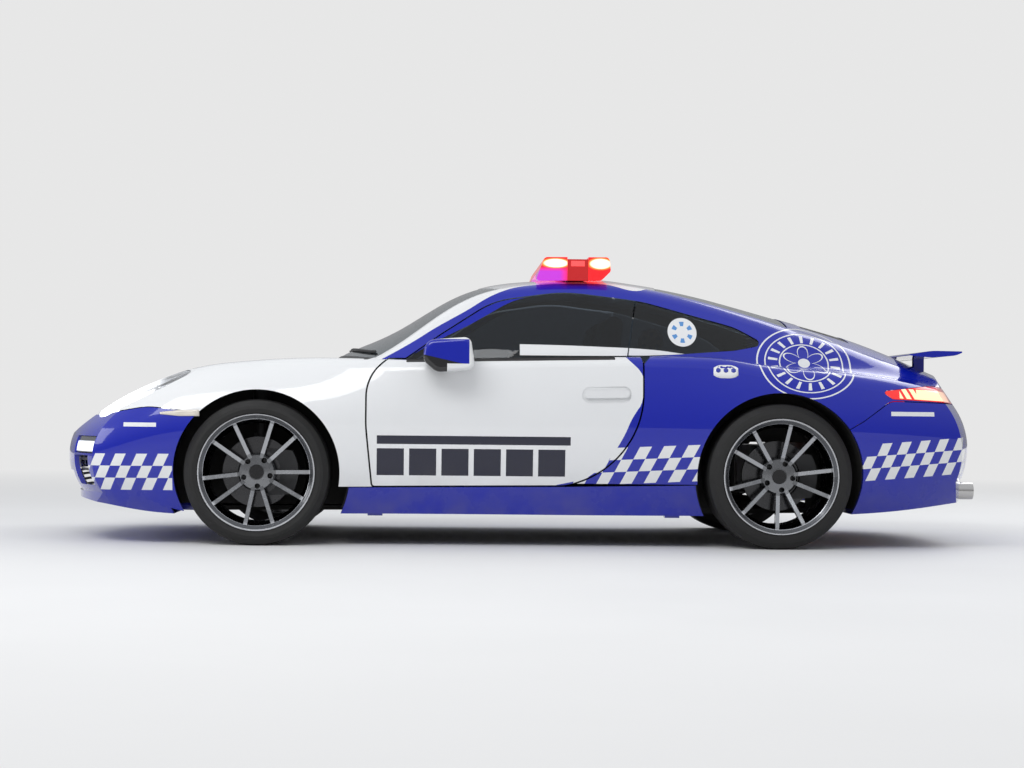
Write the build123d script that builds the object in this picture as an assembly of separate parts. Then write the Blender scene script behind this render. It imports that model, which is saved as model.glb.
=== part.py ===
"""A two-door rear-engined police patrol coupe at real size, in millimetres.

X runs rearward, Y to the car's right and Z up. The origin is on the ground at mid length, on the
centre plane. The outer skin is one closed form made of two lofts, the lower body and the glasshouse,
trimmed by a nose former and a tail former. Each panel is the skin's wall inside that panel's own outline.
"""

import os
from math import acos, asin, atan2, cos, hypot, sin, sqrt, tan

from build123d import *

# Driving dimensions of the whole car
LENGTH = 4491.0
WHEELBASE = 2450.0
FRONT_OVERHANG = 995.0
HALF = LENGTH / 2
FRONT_AXLE_X = -HALF + FRONT_OVERHANG
REAR_AXLE_X = FRONT_AXLE_X + WHEELBASE

# Walls and gaps
SKIN = 22.0
GLASS = 5.0
GLASS_INSET = 3.0
ROOF_WALL = 34.0
LENS = 14.0
DOOR_DEPTH = 78.0
PANEL_GAP = 4.0
LAMP_GAP = 2.0
LID_GAP = 8.0
DOOR_GAP = 8.0
PANE_GAP = 6.0

# Wheels: rim radius, tyre radius and width, half width of the rim, distance of the wheel's middle
# from the centre plane, and how far outside that middle the hub's face lies
RIM_R = 271.5
FRONT_TYRE_R, FRONT_TYRE_W, FRONT_RIM_H, FRONT_WHEEL_Y = 340.0, 238.0, 116.0, 762.0
REAR_TYRE_R, REAR_TYRE_W, REAR_RIM_H, REAR_WHEEL_Y = 342.0, 290.0, 148.0, 750.0
HUB_FACE = 50.0
DISC_BACK = 58.0

# Openings in the wings, and the wheelhouse cups behind them
FRONT_ARCH_R = 386.0
REAR_ARCH_R = 392.0
FRONT_CUP_R = 425.0
FRONT_CUP_Y = 436.0
REAR_CUP_Y = 574.0
CUP_WALL = 6.0
CUP_GAP = 3.0

# Shut lines: where the door ends and where the two lids meet the panels round them
DOOR_REAR_X = 549.0
DOOR_FRONT_FOOT = (-712.0, 282.0)
DOOR_MID_FOOT = (200.0, 292.0)
HOOD_REAR_X, HOOD_REAR_MID, HOOD_REAR_Y = -800.0, -985.0, 592.0
LID_FRONT_X = 1292.0
LID_FOOT_Z = 772.0

# Glass and roof seams, each as (x at the rails, x on the centre plane)
SCREEN_FOOT = (-708.0, -900.0)
ROOF_FRONT = (-117.0, -212.0)
ROOF_REAR = (640.0, 665.0)
REAR_GLASS_END = 1284.0

# Headlamp, tail pipe and jacking pads
LAMP_X, LAMP_Y, LAMP_Z, LAMP_R = -1875.0, 650.0, 702.0, 112.0
PIPE_Y, PIPE_Z, PIPE_R, PIPE_BORE, PIPE_NOTCH_R = 500.0, 270.0, 42.0, 38.0, 52.0
JACK_X = (-700.0, 700.0)
JACK_Y = 752.0
JACK_Z = 140.0

# Lower body, one row for each section, with the half widths and heights of its arcs:
# x, bottom z, bottom y, widest y, widest z, crown y, crown z, shoulder radius, valley y, valley z, centre z
LOWER = [
    (-2480, 215, 150, 200, 260, 170, 330, 20, 120, 326, 334),
    (-2300, 215, 330, 400, 340, 350, 440, 36, 250, 436, 446),
    (-2100, 196, 585, 690, 400, 560, 566, 90, 400, 562, 580),
    (-1950, 178, 695, 800, 440, 625, 658, 110, 460, 634, 656),
    (-1750, 150, 770, 860, 500, 630, 762, 130, 480, 716, 742),
    (-1500, 142, 800, 892, 540, 642, 840, 150, 500, 800, 822),
    (-1250, 145, 805, 900, 560, 655, 868, 150, 515, 843, 862),
    (-950, 148, 800, 890, 565, 705, 880, 110, 555, 868, 884),
    (-650, 150, 796, 872, 565, 765, 875, 75, 560, 868, 880),
    (0, 150, 792, 862, 565, 785, 884, 55, 560, 878, 885),
    (450, 150, 796, 868, 565, 786, 897, 58, 560, 892, 897),
    (850, 152, 805, 889, 562, 788, 902, 72, 560, 965, 975),
    (1200, 156, 812, 904, 560, 788, 858, 90, 550, 1040, 1055),
    (1550, 165, 800, 893, 555, 768, 832, 100, 520, 975, 990),
    (1850, 190, 760, 858, 540, 738, 790, 95, 480, 872, 885),
    (2050, 215, 690, 800, 525, 690, 752, 85, 450, 806, 818),
    (2300, 240, 560, 660, 500, 565, 672, 75, 380, 700, 706),
    (2520, 250, 400, 480, 470, 400, 590, 60, 270, 612, 618),
]

# Glasshouse, one row for each section:
# x, base z, base y, rail y, rail z, rail radius, centre z
GLASSHOUSE = [
    (-1288, 360, 800, 785, 500, 35, 650),
    (-1000, 620, 790, 743, 676, 38, 820),
    (-712, 740, 785, 690, 870, 45, 992),
    (-467, 790, 800, 645, 1040, 55, 1131),
    (-225, 795, 805, 602, 1186, 70, 1250),
    (0, 795, 808, 575, 1240, 90, 1288),
    (250, 795, 808, 562, 1260, 105, 1303),
    (500, 795, 808, 558, 1244, 115, 1292),
    (800, 795, 808, 566, 1184, 135, 1245),
    (1100, 780, 806, 580, 1098, 150, 1172),
    (1400, 750, 790, 592, 1000, 165, 1093),
    (1700, 700, 760, 590, 900, 165, 1006),
    (1950, 640, 720, 575, 822, 150, 905),
    (2200, 560, 660, 540, 740, 130, 800),
    (2450, 450, 560, 480, 650, 110, 690),
]
SIDE_R = 1700.0

# Plan radius of the nose and of the tail
NOSE_R = 1400.0
TAIL_R = 1900.0


def arc_edge(p, mid, q):
    """Arc through three (y, z) points in the YZ plane at x 0."""
    return Edge.make_three_point_arc((0, *p), (0, *mid), (0, *q))


def circle_mid(centre, p, q):
    """Point half way along the shorter arc from p to q about centre."""
    a, b = atan2(p[1] - centre[1], p[0] - centre[0]), atan2(q[1] - centre[1], q[0] - centre[0])
    while b - a > 3.14159265:
        b -= 6.2831853
    while a - b > 3.14159265:
        b += 6.2831853
    r, m = hypot(p[0] - centre[0], p[1] - centre[1]), (a + b) / 2
    return (centre[0] + r * cos(m), centre[1] + r * sin(m))


def corner_outline(points):
    """Closed edges through (u, v, radius) corners, each rounded by an arc of its radius."""
    edges, last, first = [], None, None
    n = len(points)
    for i, (u, v, r) in enumerate(points):
        p, q = points[i - 1], points[(i + 1) % n]
        a, b = hypot(p[0] - u, p[1] - v), hypot(q[0] - u, q[1] - v)
        d1, d2 = ((p[0] - u) / a, (p[1] - v) / a), ((q[0] - u) / b, (q[1] - v) / b)
        start = end = (u, v)
        if r > 0:
            half = acos(max(-1.0, min(1.0, d1[0] * d2[0] + d1[1] * d2[1]))) / 2
            back = r / tan(half)
            start, end = (u + d1[0] * back, v + d1[1] * back), (u + d2[0] * back, v + d2[1] * back)
            bis = hypot(d1[0] + d2[0], d1[1] + d2[1])
            away = r / sin(half) - r
            mid = (u + (d1[0] + d2[0]) / bis * away, v + (d1[1] + d2[1]) / bis * away)
        if last is not None and hypot(start[0] - last[0], start[1] - last[1]) > 1e-6:
            edges.append(Edge.make_line((*last, 0), (*start, 0)))
        if r > 0:
            edges.append(Edge.make_three_point_arc((*start, 0), (*mid, 0), (*end, 0)))
        first = first or start
        last = end
    if hypot(first[0] - last[0], first[1] - last[1]) > 1e-6:
        edges.append(Edge.make_line((*last, 0), (*first, 0)))
    return Face(Wire(edges))


def with_radius(points):
    return [p if len(p) == 3 else (*p, 0) for p in points]


def plan_prism(points, z0, z1):
    """Upright prism over a plan outline of (x, y) or (x, y, radius) corners."""
    return Pos(0, 0, z0) * extrude(corner_outline(with_radius(points)), amount=z1 - z0, dir=(0, 0, 1))


def side_prism(points, y0, y1):
    """Prism across the car over a side outline of (x, z) or (x, z, radius) corners."""
    face = Plane(origin=(0, y1, 0), x_dir=(1, 0, 0), z_dir=(0, -1, 0)) * corner_outline(with_radius(points))
    return extrude(face, amount=y1 - y0, dir=(0, -1, 0))


def front_prism(points, x0, x1):
    """Prism along the car over a front outline of (y, z) or (y, z, radius) corners."""
    face = Plane(origin=(x0, 0, 0), x_dir=(0, 1, 0), z_dir=(1, 0, 0)) * corner_outline(with_radius(points))
    return extrude(face, amount=x1 - x0, dir=(1, 0, 0))


def both(shape):
    """The shape on the left and its mirror image on the right."""
    return [shape, mirror(shape, Plane.XZ)]


def cylinder_y(x, z, r, y0, y1):
    return Pos(x, (y0 + y1) / 2, z) * Rot(90, 0, 0) * Cylinder(r, abs(y1 - y0))


def rod(p, q, r):
    """Round bar between two points."""
    a, b = Vector(*p), Vector(*q)
    return Plane(origin=(a + b) / 2, z_dir=b - a) * Cylinder(r, (b - a).length)


def mirrored(edges):
    return [e.mirror(Plane.XZ) for e in reversed(edges)]


def section_face(x, bottom, right, top):
    """Closed section at x from its bottom edge, the right side's edges going up, and its top edge."""
    wire = Wire(Wire.combine([bottom, *right, top, *mirrored(right)])[0].edges())
    return Pos(x, 0, 0) * Face(wire)


def lower_section(row, inset):
    x, zb, yb, ym, zw, yc, zc, r, yv, zv, z0 = row
    yb, ym, yc, yv = yb - inset, ym - inset, yc - inset, yv - inset
    zb, zc, zv, z0 = zb + inset, zc - inset, zv - inset, z0 - inset
    a, h = ym - yc, zc - zw
    big = (a * a + h * h - 2 * h * r) / (2 * (a - r))
    c_big, c_small = (ym - big, zw), (yc, zc - r)
    reach = big - r
    joint = tuple(cb + big * (cs - cb) / reach for cb, cs in zip(c_big, c_small))
    under = ((ym - yb) ** 2 + (zw - zb) ** 2) / (2 * (ym - yb))
    c_under = (ym - under, zw)
    drop = zc - zv if abs(zc - zv) > 1 else 1.0
    zv = zc - drop
    middle = ((yc + yv) / 2, (zc + zv) / 2)
    bend = ((yc - yv) ** 2 + drop**2) / (4 * drop)
    right = [
        arc_edge((yb, zb), circle_mid(c_under, (yb, zb), (ym, zw)), (ym, zw)),
        arc_edge((ym, zw), circle_mid(c_big, (ym, zw), joint), joint),
        arc_edge(joint, circle_mid(c_small, joint, (yc, zc)), (yc, zc)),
        arc_edge((yc, zc), circle_mid((yc, zc - bend), (yc, zc), middle), middle),
        arc_edge(middle, circle_mid((yv, zv + bend), middle, (yv, zv)), (yv, zv)),
    ]
    bottom = Edge.make_line((0, -yb, zb), (0, yb, zb))
    top = arc_edge((yv, zv), (0, z0), (-yv, zv))
    return section_face(x, bottom, right, top)


def lower_body(inset=0.0, rows=LOWER):
    return loft([lower_section(row, inset) for row in rows])


def two_circles(c1, r1, c2, r2):
    """The higher point where two circles cross."""
    dx, dy = c2[0] - c1[0], c2[1] - c1[1]
    d = hypot(dx, dy)
    a = (r1 * r1 - r2 * r2 + d * d) / (2 * d)
    h = sqrt(r1 * r1 - a * a)
    m = (c1[0] + a * dx / d, c1[1] + a * dy / d)
    options = [(m[0] + s * h * dy / d, m[1] - s * h * dx / d) for s in (1, -1)]
    return max(options, key=lambda p: p[1] + p[0])


def glass_section(row, inset):
    x, zb, yb, yr, zr, r, z0 = row
    yb, yr, zb, zr, z0 = yb - inset, yr - inset * 0.8, zb - inset, zr - inset, z0 - inset
    crown = (yr * yr + (z0 - zr) ** 2) / (2 * (z0 - zr))
    c_roof = (0.0, z0 - crown)
    half = hypot(yr - yb, zr - zb) / 2
    away = sqrt(SIDE_R**2 - half**2)
    nx, nz = (zr - zb) / (2 * half), (yb - yr) / (2 * half)
    c_side = ((yb + yr) / 2 - nx * away, (zb + zr) / 2 - nz * away)
    c_rail = two_circles(c_side, SIDE_R - r, c_roof, crown - r)
    low = tuple(c + (k - c) * SIDE_R / (SIDE_R - r) for c, k in zip(c_side, c_rail))
    high = tuple(c + (k - c) * crown / (crown - r) for c, k in zip(c_roof, c_rail))
    right = [
        arc_edge((yb, zb), circle_mid(c_side, (yb, zb), low), low),
        arc_edge(low, circle_mid(c_rail, low, high), high),
    ]
    bottom = Edge.make_line((0, -yb, zb), (0, yb, zb))
    top = arc_edge(high, (0, z0), (-high[0], high[1]))
    return section_face(x, bottom, right, top)


def glasshouse(inset=0.0):
    first, *middle, last = GLASSHOUSE
    rows = [(first[0] - inset, *first[1:]), *middle, (last[0] + inset, *last[1:])]
    return loft([glass_section(row, inset) for row in rows])


def box(x0, x1, y0, y1, z0, z1):
    return Pos((x0 + x1) / 2, (y0 + y1) / 2, (z0 + z1) / 2) * Box(abs(x1 - x0), abs(y1 - y0), abs(z1 - z0))


def nose_former(inset=0.0):
    """Solid behind the nose: the side profile turned about an upright axis."""
    axis_x = -HALF + NOSE_R
    r = NOSE_R - inset
    with BuildPart() as p:
        with BuildSketch(Plane.XZ):
            with BuildLine():
                a = Line((0, 100), (r - 60, 100))
                b = Line(a @ 1, (r - 55, 235))
                c = ThreePointArc(b @ 1, (r, 425), (r - 50, 560))
                d = ThreePointArc(c @ 1, (r - 110, 630), (r - 230, 720))
                e = Line(d @ 1, (r - 560, 900))
                f = Line(e @ 1, (0, 900))
                Line(f @ 1, a @ 0)
            make_face()
        revolve(axis=Axis.Z, revolution_arc=360)
    return Pos(axis_x, 0, 0) * p.part


def tail_former(inset=0.0):
    axis_x = HALF - TAIL_R
    r = TAIL_R - inset
    with BuildPart() as p:
        with BuildSketch(Plane.XZ):
            with BuildLine():
                a = Line((0, 100), (r - 45, 100))
                b = Line(a @ 1, (r - 28, 320))
                c = ThreePointArc(b @ 1, (r, 530), (r - 60, 680))
                d = Line(c @ 1, (r - 140, 800))
                e = Line(d @ 1, (r - 260, 1000))
                f = Line(e @ 1, (0, 1400))
                Line(f @ 1, a @ 0)
            make_face()
        revolve(axis=Axis.Z, revolution_arc=360)
    return Pos(axis_x, 0, 0) * p.part


BIG = 3000.0
SLIVER = 0.02


def former(inset):
    """What the nose and tail keep of the lofted form."""
    front = nose_former(inset) + box(-900, BIG, -BIG, BIG, 0, BIG)
    return front & (tail_former(inset) + box(-BIG, 1000, -BIG, BIG, 0, BIG))


def grown(outline, gap):
    """The outline with every side moved outward by gap, its arcs staying parallel."""
    points = with_radius(outline)
    n = len(points)
    area = sum(points[i - 1][0] * points[i][1] - points[i][0] * points[i - 1][1] for i in range(n))
    way = 1 if area > 0 else -1
    moved = []
    for i, (u, v, r) in enumerate(points):
        p, q = points[i - 1], points[(i + 1) % n]
        a, b = hypot(u - p[0], v - p[1]), hypot(q[0] - u, q[1] - v)
        n1 = (way * (v - p[1]) / a, way * (p[0] - u) / a)
        n2 = (way * (q[1] - v) / b, way * (u - q[0]) / b)
        k = gap / (1 + n1[0] * n2[0] + n1[1] * n2[1])
        convex = way * (n1[0] * n2[1] - n1[1] * n2[0]) > 0
        radius = r + (gap if convex else -gap) if r > 0 else 0
        moved.append((u + k * (n1[0] + n2[0]), v + k * (n1[1] + n2[1]), radius))
    return moved


def bow(x_mid, x_side, half):
    """Corner whose arc runs from (x_side, half) through (x_mid, 0) to (x_side, -half)."""
    sag = abs(x_mid - x_side)
    r = (half * half + sag * sag) / (2 * sag)
    away = r / cos(asin(half / r)) - r
    side = 1 if x_mid > x_side else -1
    return (x_mid + side * away, 0, r)


# Panel outlines. Plans hold (x, y, corner radius) and side views (x, z, corner radius)
HOOD = [
    (-BIG, -380), (-2000, -424, 300), (-1500, -528, 900), (HOOD_REAR_X, -HOOD_REAR_Y),
    bow(HOOD_REAR_MID, HOOD_REAR_X, HOOD_REAR_Y),
    (HOOD_REAR_X, HOOD_REAR_Y), (-1500, 528, 900), (-2000, 424, 300), (-BIG, 380),
]
COWL = [
    (HOOD_REAR_X, -HOOD_REAR_Y), (-715, -640), bow(-905, -715, 640), (-715, 640),
    (HOOD_REAR_X, HOOD_REAR_Y), bow(HOOD_REAR_MID, HOOD_REAR_X, HOOD_REAR_Y),
]
ENGINE_LID = [
    (LID_FRONT_X, -500, 40), (1850, -535, 300), (BIG, -480),
    (BIG, 480), (1850, 535, 300), (LID_FRONT_X, 500, 40),
]
FRONT_BUMPER = [(-BIG, 0), (-BIG, 600), (-2010, 600, 400), (-1760, 640, 300), (-1500, 612), (-1500, 0)]
FENDER = [(-BIG, 0), (-600, 0), (-600, 876), (-760, 872), (-800, 1000), (-BIG, 1000)]
DOOR = [
    (-590, 1000), (-610, 905), (-742, 790, 200), (-741, 560, 600), (*DOOR_FRONT_FOOT, 12),
    (*DOOR_MID_FOOT, 200), (DOOR_REAR_X, 420, 440), (DOOR_REAR_X, 903, 95), (440, 1000),
]
SILL = [
    (-1300, 0), (-1300, 268), (DOOR_FRONT_FOOT[0], DOOR_FRONT_FOOT[1] - DOOR_GAP),
    (DOOR_MID_FOOT[0], DOOR_MID_FOOT[1] - DOOR_GAP), (1200, 304), (1200, 0),
]
WINDOW = [
    (-600, 800), (-596, 862), (-404, 999, 400), (-150, 1166, 400), (190, 1216, 700), (560, 1172, 700),
    (1010, 1050, 300), (1160, 967, 20), (1000, 935), (590, 902), (500, 800),
]
REAR_BUMPER = [
    (1480, 0), (1480, 540), (1590, 604, 80), (1722, 700, 80), (2080, 690, 200), (BIG, 640), (BIG, 0),
]
TAIL_LAMP = [
    (1690, 740, 8), (1730, 712, 30), (2080, 694, 200), (BIG, 640),
    (BIG, 765), (2040, 765), (1960, 779, 200), (1702, 750, 8),
]

# Line between the roof's top and its rails: x, half width
RAIL_LINE = [
    (-1000, 700), (-712, 646), (-467, 601), (-225, 556), (0, 524), (250, 508), (500, 504),
    (800, 510), (1100, 520), (1400, 528),
]


def rail_half(x):
    """Half width of the rail line at x."""
    for (xa, ya), (xb, yb) in zip(RAIL_LINE, RAIL_LINE[1:]):
        if xa <= x <= xb:
            return ya + (yb - ya) * (x - xa) / (xb - xa)
    return RAIL_LINE[-1][1]


def band(front, rear):
    """Plan outline between the rails, each end given as (x at the rails, x on the centre plane)."""
    (x0, mid0), (x1, mid1) = front, rear
    xs = [x0] + [x for x, _ in RAIL_LINE if x0 + 60 < x < x1 - 60] + [x1]
    right = [(x, rail_half(x), 400 if 0 < i < len(xs) - 1 else 0) for i, x in enumerate(xs)]
    left = [(x, -y, r) for x, y, r in reversed(right)]
    end = [] if mid1 == x1 else [bow(mid1, x1, rail_half(x1))]
    return right + end + left + [bow(mid0, x0, rail_half(x0))]


def moved_end(end, step):
    return (end[0] + step, end[1] + step)


def plan_zone(outline, z0, gap=0.0):
    """Everything above z0 inside a plan outline."""
    return plan_prism(grown(outline, gap), z0, BIG)


def side_zone(outline, y1=BIG, gap=0.0):
    """Everything from the far left to y1 inside a side outline."""
    return side_prism(grown(outline, gap), -BIG, y1)


def arch(x, r, z, inner):
    return both(cylinder_y(x, z, r, -BIG, -inner))


def keep(name, *shapes):
    """Store the solids of one node, leaving out slivers from the cuts."""
    solids = [s for shape in shapes for s in shape.solids()]
    largest = max(s.volume for s in solids)
    solids = [s for s in solids if s.volume > SLIVER * largest]
    parts[name] = Compound(solids) if len(solids) > 1 else solids[0]


def keep_pair(name, shape):
    """Store a left piece and its mirror image."""
    left, right = both(shape)
    keep(f"{name}_left", left)
    keep(f"{name}_right", right)


parts = {}
fx, fz = FRONT_AXLE_X, FRONT_TYRE_R
rx, rz = REAR_AXLE_X, REAR_TYRE_R
front_arch = arch(fx, FRONT_ARCH_R, fz, inner=440)
rear_arch = arch(rx, REAR_ARCH_R, rz, inner=580)
low = lower_body()
outer = (low + glasshouse()) & former(0)
inner = (lower_body(SKIN) + glasshouse(ROOF_WALL)) & former(SKIN)
wall = outer - [inner, *front_arch, *rear_arch]
front_wall = wall & box(-BIG, -590, -BIG, BIG, 0, BIG)
front_left = front_wall & box(-BIG, BIG, -BIG, -1, 0, BIG)
rear_wall = wall & box(-800, BIG, -BIG, BIG, 0, BIG)
rear_left = rear_wall & box(-BIG, BIG, -BIG, -1, 0, BIG)
above_belt = box(-960, 1640, -BIG, BIG, 780, BIG)
pane = (glasshouse(GLASS_INSET) & above_belt) - (glasshouse(GLASS_INSET + GLASS) & above_belt) - low
left_pane = pane & box(-BIG, BIG, -BIG, -1, 0, BIG)
low_lens = lower_body(LENS)

# Zones that more than one panel is cut by
hood_wide = plan_zone(HOOD, 500, LID_GAP)
cowl_zone = plan_zone(COWL, 500)
whole_band = plan_zone(band(SCREEN_FOOT, (REAR_GLASS_END, REAR_GLASS_END)), 700, PANEL_GAP)
lid_wide = plan_zone(ENGINE_LID, LID_FOOT_Z - LID_GAP, LID_GAP)
front_bumper_wide = side_zone(FRONT_BUMPER, gap=PANEL_GAP)
rear_bumper_wide = side_zone(REAR_BUMPER, gap=PANEL_GAP)
tail_lamp_wide = side_zone(TAIL_LAMP, -400, LAMP_GAP)
sill_wide = side_zone(SILL, gap=PANEL_GAP)
door_wide = side_zone(DOOR, -500, DOOR_GAP)


def lamp_bore(r):
    """Round lengthwise bore for the left headlamp."""
    return Pos(LAMP_X, -LAMP_Y, LAMP_Z) * Rot(0, 90, 0) * Cylinder(r, 700)


# Front body
keep("front_lid", (front_wall & plan_zone(HOOD, 500)) - side_zone(FRONT_BUMPER, gap=LID_GAP))
keep("cowl", (front_wall & cowl_zone) - hood_wide)
keep("windscreen", pane & plan_zone(band(SCREEN_FOOT, moved_end(ROOF_FRONT, -3)), 800))
fender = (front_left & side_zone(FENDER)) - [
    door_wide, hood_wide, cowl_zone, front_bumper_wide, sill_wide, lamp_bore(LAMP_R + LAMP_GAP), whole_band,
    box(-BIG, BIG, -600, 0, 0, 400)]
keep_pair("fender", fender)
front_lens = outer & (lamp_bore(LAMP_R) & box(-2300, -1500, -BIG, 0, 590, BIG))
keep("headlamps", *both((front_lens - low_lens) + (front_lens - nose_former(LENS))))

# Front bumper with its intakes, and a floor cut back round the steered wheels
INTAKE_HALF, INTAKE_LOW, INTAKE_HIGH = 430.0, 232.0, 330.0
SIDE_IN, SIDE_OUT, SIDE_LOW, SIDE_HIGH = 500.0, 705.0, 268.0, 408.0
UNIT_IN, UNIT_OUT, UNIT_LOW, UNIT_HIGH = 500.0, 752.0, 418.0, 500.0
UNIT_EDGE = 4.0
middle_intake = box(-2400, -2100, -INTAKE_HALF, INTAKE_HALF, INTAKE_LOW, INTAKE_HIGH)
side_intake = box(-2400, -1950, -SIDE_OUT, -SIDE_IN, SIDE_LOW, SIDE_HIGH)
unit_hole = box(-2400, -1950, -UNIT_OUT, -UNIT_IN, UNIT_LOW, UNIT_HIGH)
front_cut_r = FRONT_CUP_R + CUP_WALL + CUP_GAP
rear_cut_r = REAR_ARCH_R + CUP_WALL + CUP_GAP
wheel_room = cylinder_y(fx, fz, front_cut_r, -800, -FRONT_CUP_Y)
keep("front_bumper", (front_wall & side_zone(FRONT_BUMPER)) - [
    middle_intake, *both(side_intake), *both(unit_hole), *both(lamp_bore(LAMP_R + LAMP_GAP)), *both(wheel_room)])

# Lower edges of the middle slats, and lower edge and height of each side slat
MIDDLE_SLATS = (245, 270, 295, 315)
SIDE_SLATS = [(334, 12), (384, 12)]
SLAT_EDGE = 2.5
slats = [box(-2400, -2080, SLAT_EDGE - INTAKE_HALF, INTAKE_HALF - SLAT_EDGE, z, z + 10) for z in MIDDLE_SLATS]
for z, rise in SIDE_SLATS:
    slats += both(box(-2400, -1950, SLAT_EDGE - SIDE_OUT, -SIDE_IN - SLAT_EDGE, z, z + rise))
lamp_bar = box(-2400, -1950, UNIT_EDGE - UNIT_OUT, -UNIT_IN - UNIT_EDGE, UNIT_LOW + UNIT_EDGE, UNIT_HIGH - UNIT_EDGE)
slat_room, lamp_room = former(26), former(8)
slat_back, lamp_back = nose_former(40), nose_former(30)
keep("bumper_grilles", *[(slat & slat_room) - slat_back for slat in slats])
keep("bumper_lamps", *[(bar & lamp_room) - lamp_back for bar in both(lamp_bar)])

# Doors with frameless panes, and a dished handle with its lever: (x, z, corner radius)
HANDLE_DISH = [(265, 676, 36), (495, 682, 36), (495, 758, 36), (265, 752, 36)]
HANDLE_LEVER = [(276, 700, 16), (486, 706, 16), (486, 740, 16), (276, 736, 16)]
door_rows = [row for row in LOWER if -1000 < row[0] < 900]
door = (low & box(-BIG, BIG, -BIG, -700, 0, 960) & side_zone(DOOR, -500)) - lower_body(DOOR_DEPTH, door_rows)
door = (door - side_prism(HANDLE_DISH, -BIG, -852)) + side_prism(HANDLE_LEVER, -866, -850)
keep_pair("door", door)

# Side glass on either side of the middle line: (x, z) of that line, and half the seam
B_LINE = [(473, 0), (481, 880), (531, 1157), (563, 1300)]
B_SEAM = 3.0
ahead = [(-BIG, 0), *[(x - B_SEAM, z) for x, z in B_LINE], (-BIG, 1300)]
behind = [*[(x + B_SEAM, z) for x, z in B_LINE], (BIG, 1300), (BIG, 0)]
keep_pair("door_glass", left_pane & side_zone(WINDOW, -300, -PANE_GAP) & side_zone(ahead, -300))
quarter = left_pane & side_zone(WINDOW, -300, -1) & side_zone(behind, -300)
keep("quarter_glass", *both(quarter - (door_wide & box(0, BIG, -BIG, -400, 0, 906))))

# Roof, rear window and side frames
keep("roof", rear_wall & plan_zone(band(ROOF_FRONT, ROOF_REAR), 900))
keep("rear_window", pane & plan_zone(band(moved_end(ROOF_REAR, 3), (REAR_GLASS_END, REAR_GLASS_END)), 900))
below_pillar = door_wide & box(-BIG, -500, -BIG, -400, 0, 884)
below_quarter = door_wide & box(-500, BIG, -BIG, -400, 0, 912)
side = rear_left - [
    side_zone(FENDER, gap=2.5), below_pillar, below_quarter, sill_wide, whole_band, lid_wide,
    rear_bumper_wide, tail_lamp_wide, side_zone(WINDOW, -300), cowl_zone, hood_wide,
    box(-BIG, BIG, -BIG, 0, 0, 300), box(2000, BIG, -432, 0, 0, 770)]
keep_pair("side_frame", side)
sill_ends = [
    front_arch[0], rear_arch[0], cylinder_y(fx, fz, front_cut_r, -853, -600),
    cylinder_y(rx, rz, rear_cut_r, -853, -600)]
sill = (low & box(-1000, 1000, -BIG, -700, 0, 400) & side_zone(SILL)) - sill_ends
pads = [Pos(x, -JACK_Y, (JACK_Z + 170) / 2) * Box(70, 60, 170 - JACK_Z) for x in JACK_X]
keep("sills", *both(sill + pads))

# Tail
GRILLE_HALF, GRILLE_X, GRILLE_EDGE = 380.0, (1380.0, 1620.0), 3.0
grille_hole = box(*GRILLE_X, -GRILLE_HALF, GRILLE_HALF, 800, 1400)
grille_fill = box(GRILLE_X[0] + GRILLE_EDGE, GRILLE_X[1] - GRILLE_EDGE, GRILLE_EDGE - GRILLE_HALF,
                  GRILLE_HALF - GRILLE_EDGE, 800, 1400)
keep("engine_lid", (rear_wall & plan_zone(ENGINE_LID, LID_FOOT_Z)) - grille_hole)
keep("engine_grille", pane & grille_fill)
rear_lens = outer & (side_zone(TAIL_LAMP, -400) & box(1600, BIG, -BIG, -430, 600, BIG))
keep("tail_lamps", *both((rear_lens - low_lens) + (rear_lens - tail_former(LENS))))
tail = rear_wall & box(1480, BIG, -BIG, BIG, 0, BIG)
apron = (tail & side_zone(REAR_BUMPER)) + (tail & box(2000, BIG, -428, 428, 600, LID_FOOT_Z - LID_GAP))
notch = box(2050, BIG, -PIPE_Y - PIPE_NOTCH_R, PIPE_NOTCH_R - PIPE_Y, 0, PIPE_Z)
notch += Pos(2300, -PIPE_Y, PIPE_Z) * Rot(0, 90, 0) * Cylinder(PIPE_NOTCH_R, 600)
apron -= [box(1500, 2100, -600, 600, 0, 362), *both(notch)]
keep("rear_bumper", max(apron.solids(), key=lambda s: s.volume))


def ring(points):
    """Solid of revolution about Z from (r, z) corners."""
    face = Plane.XZ * corner_outline([(r, z, 0) for r, z in points])
    return revolve(face, axis=Axis.Z, revolution_arc=360)


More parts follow.
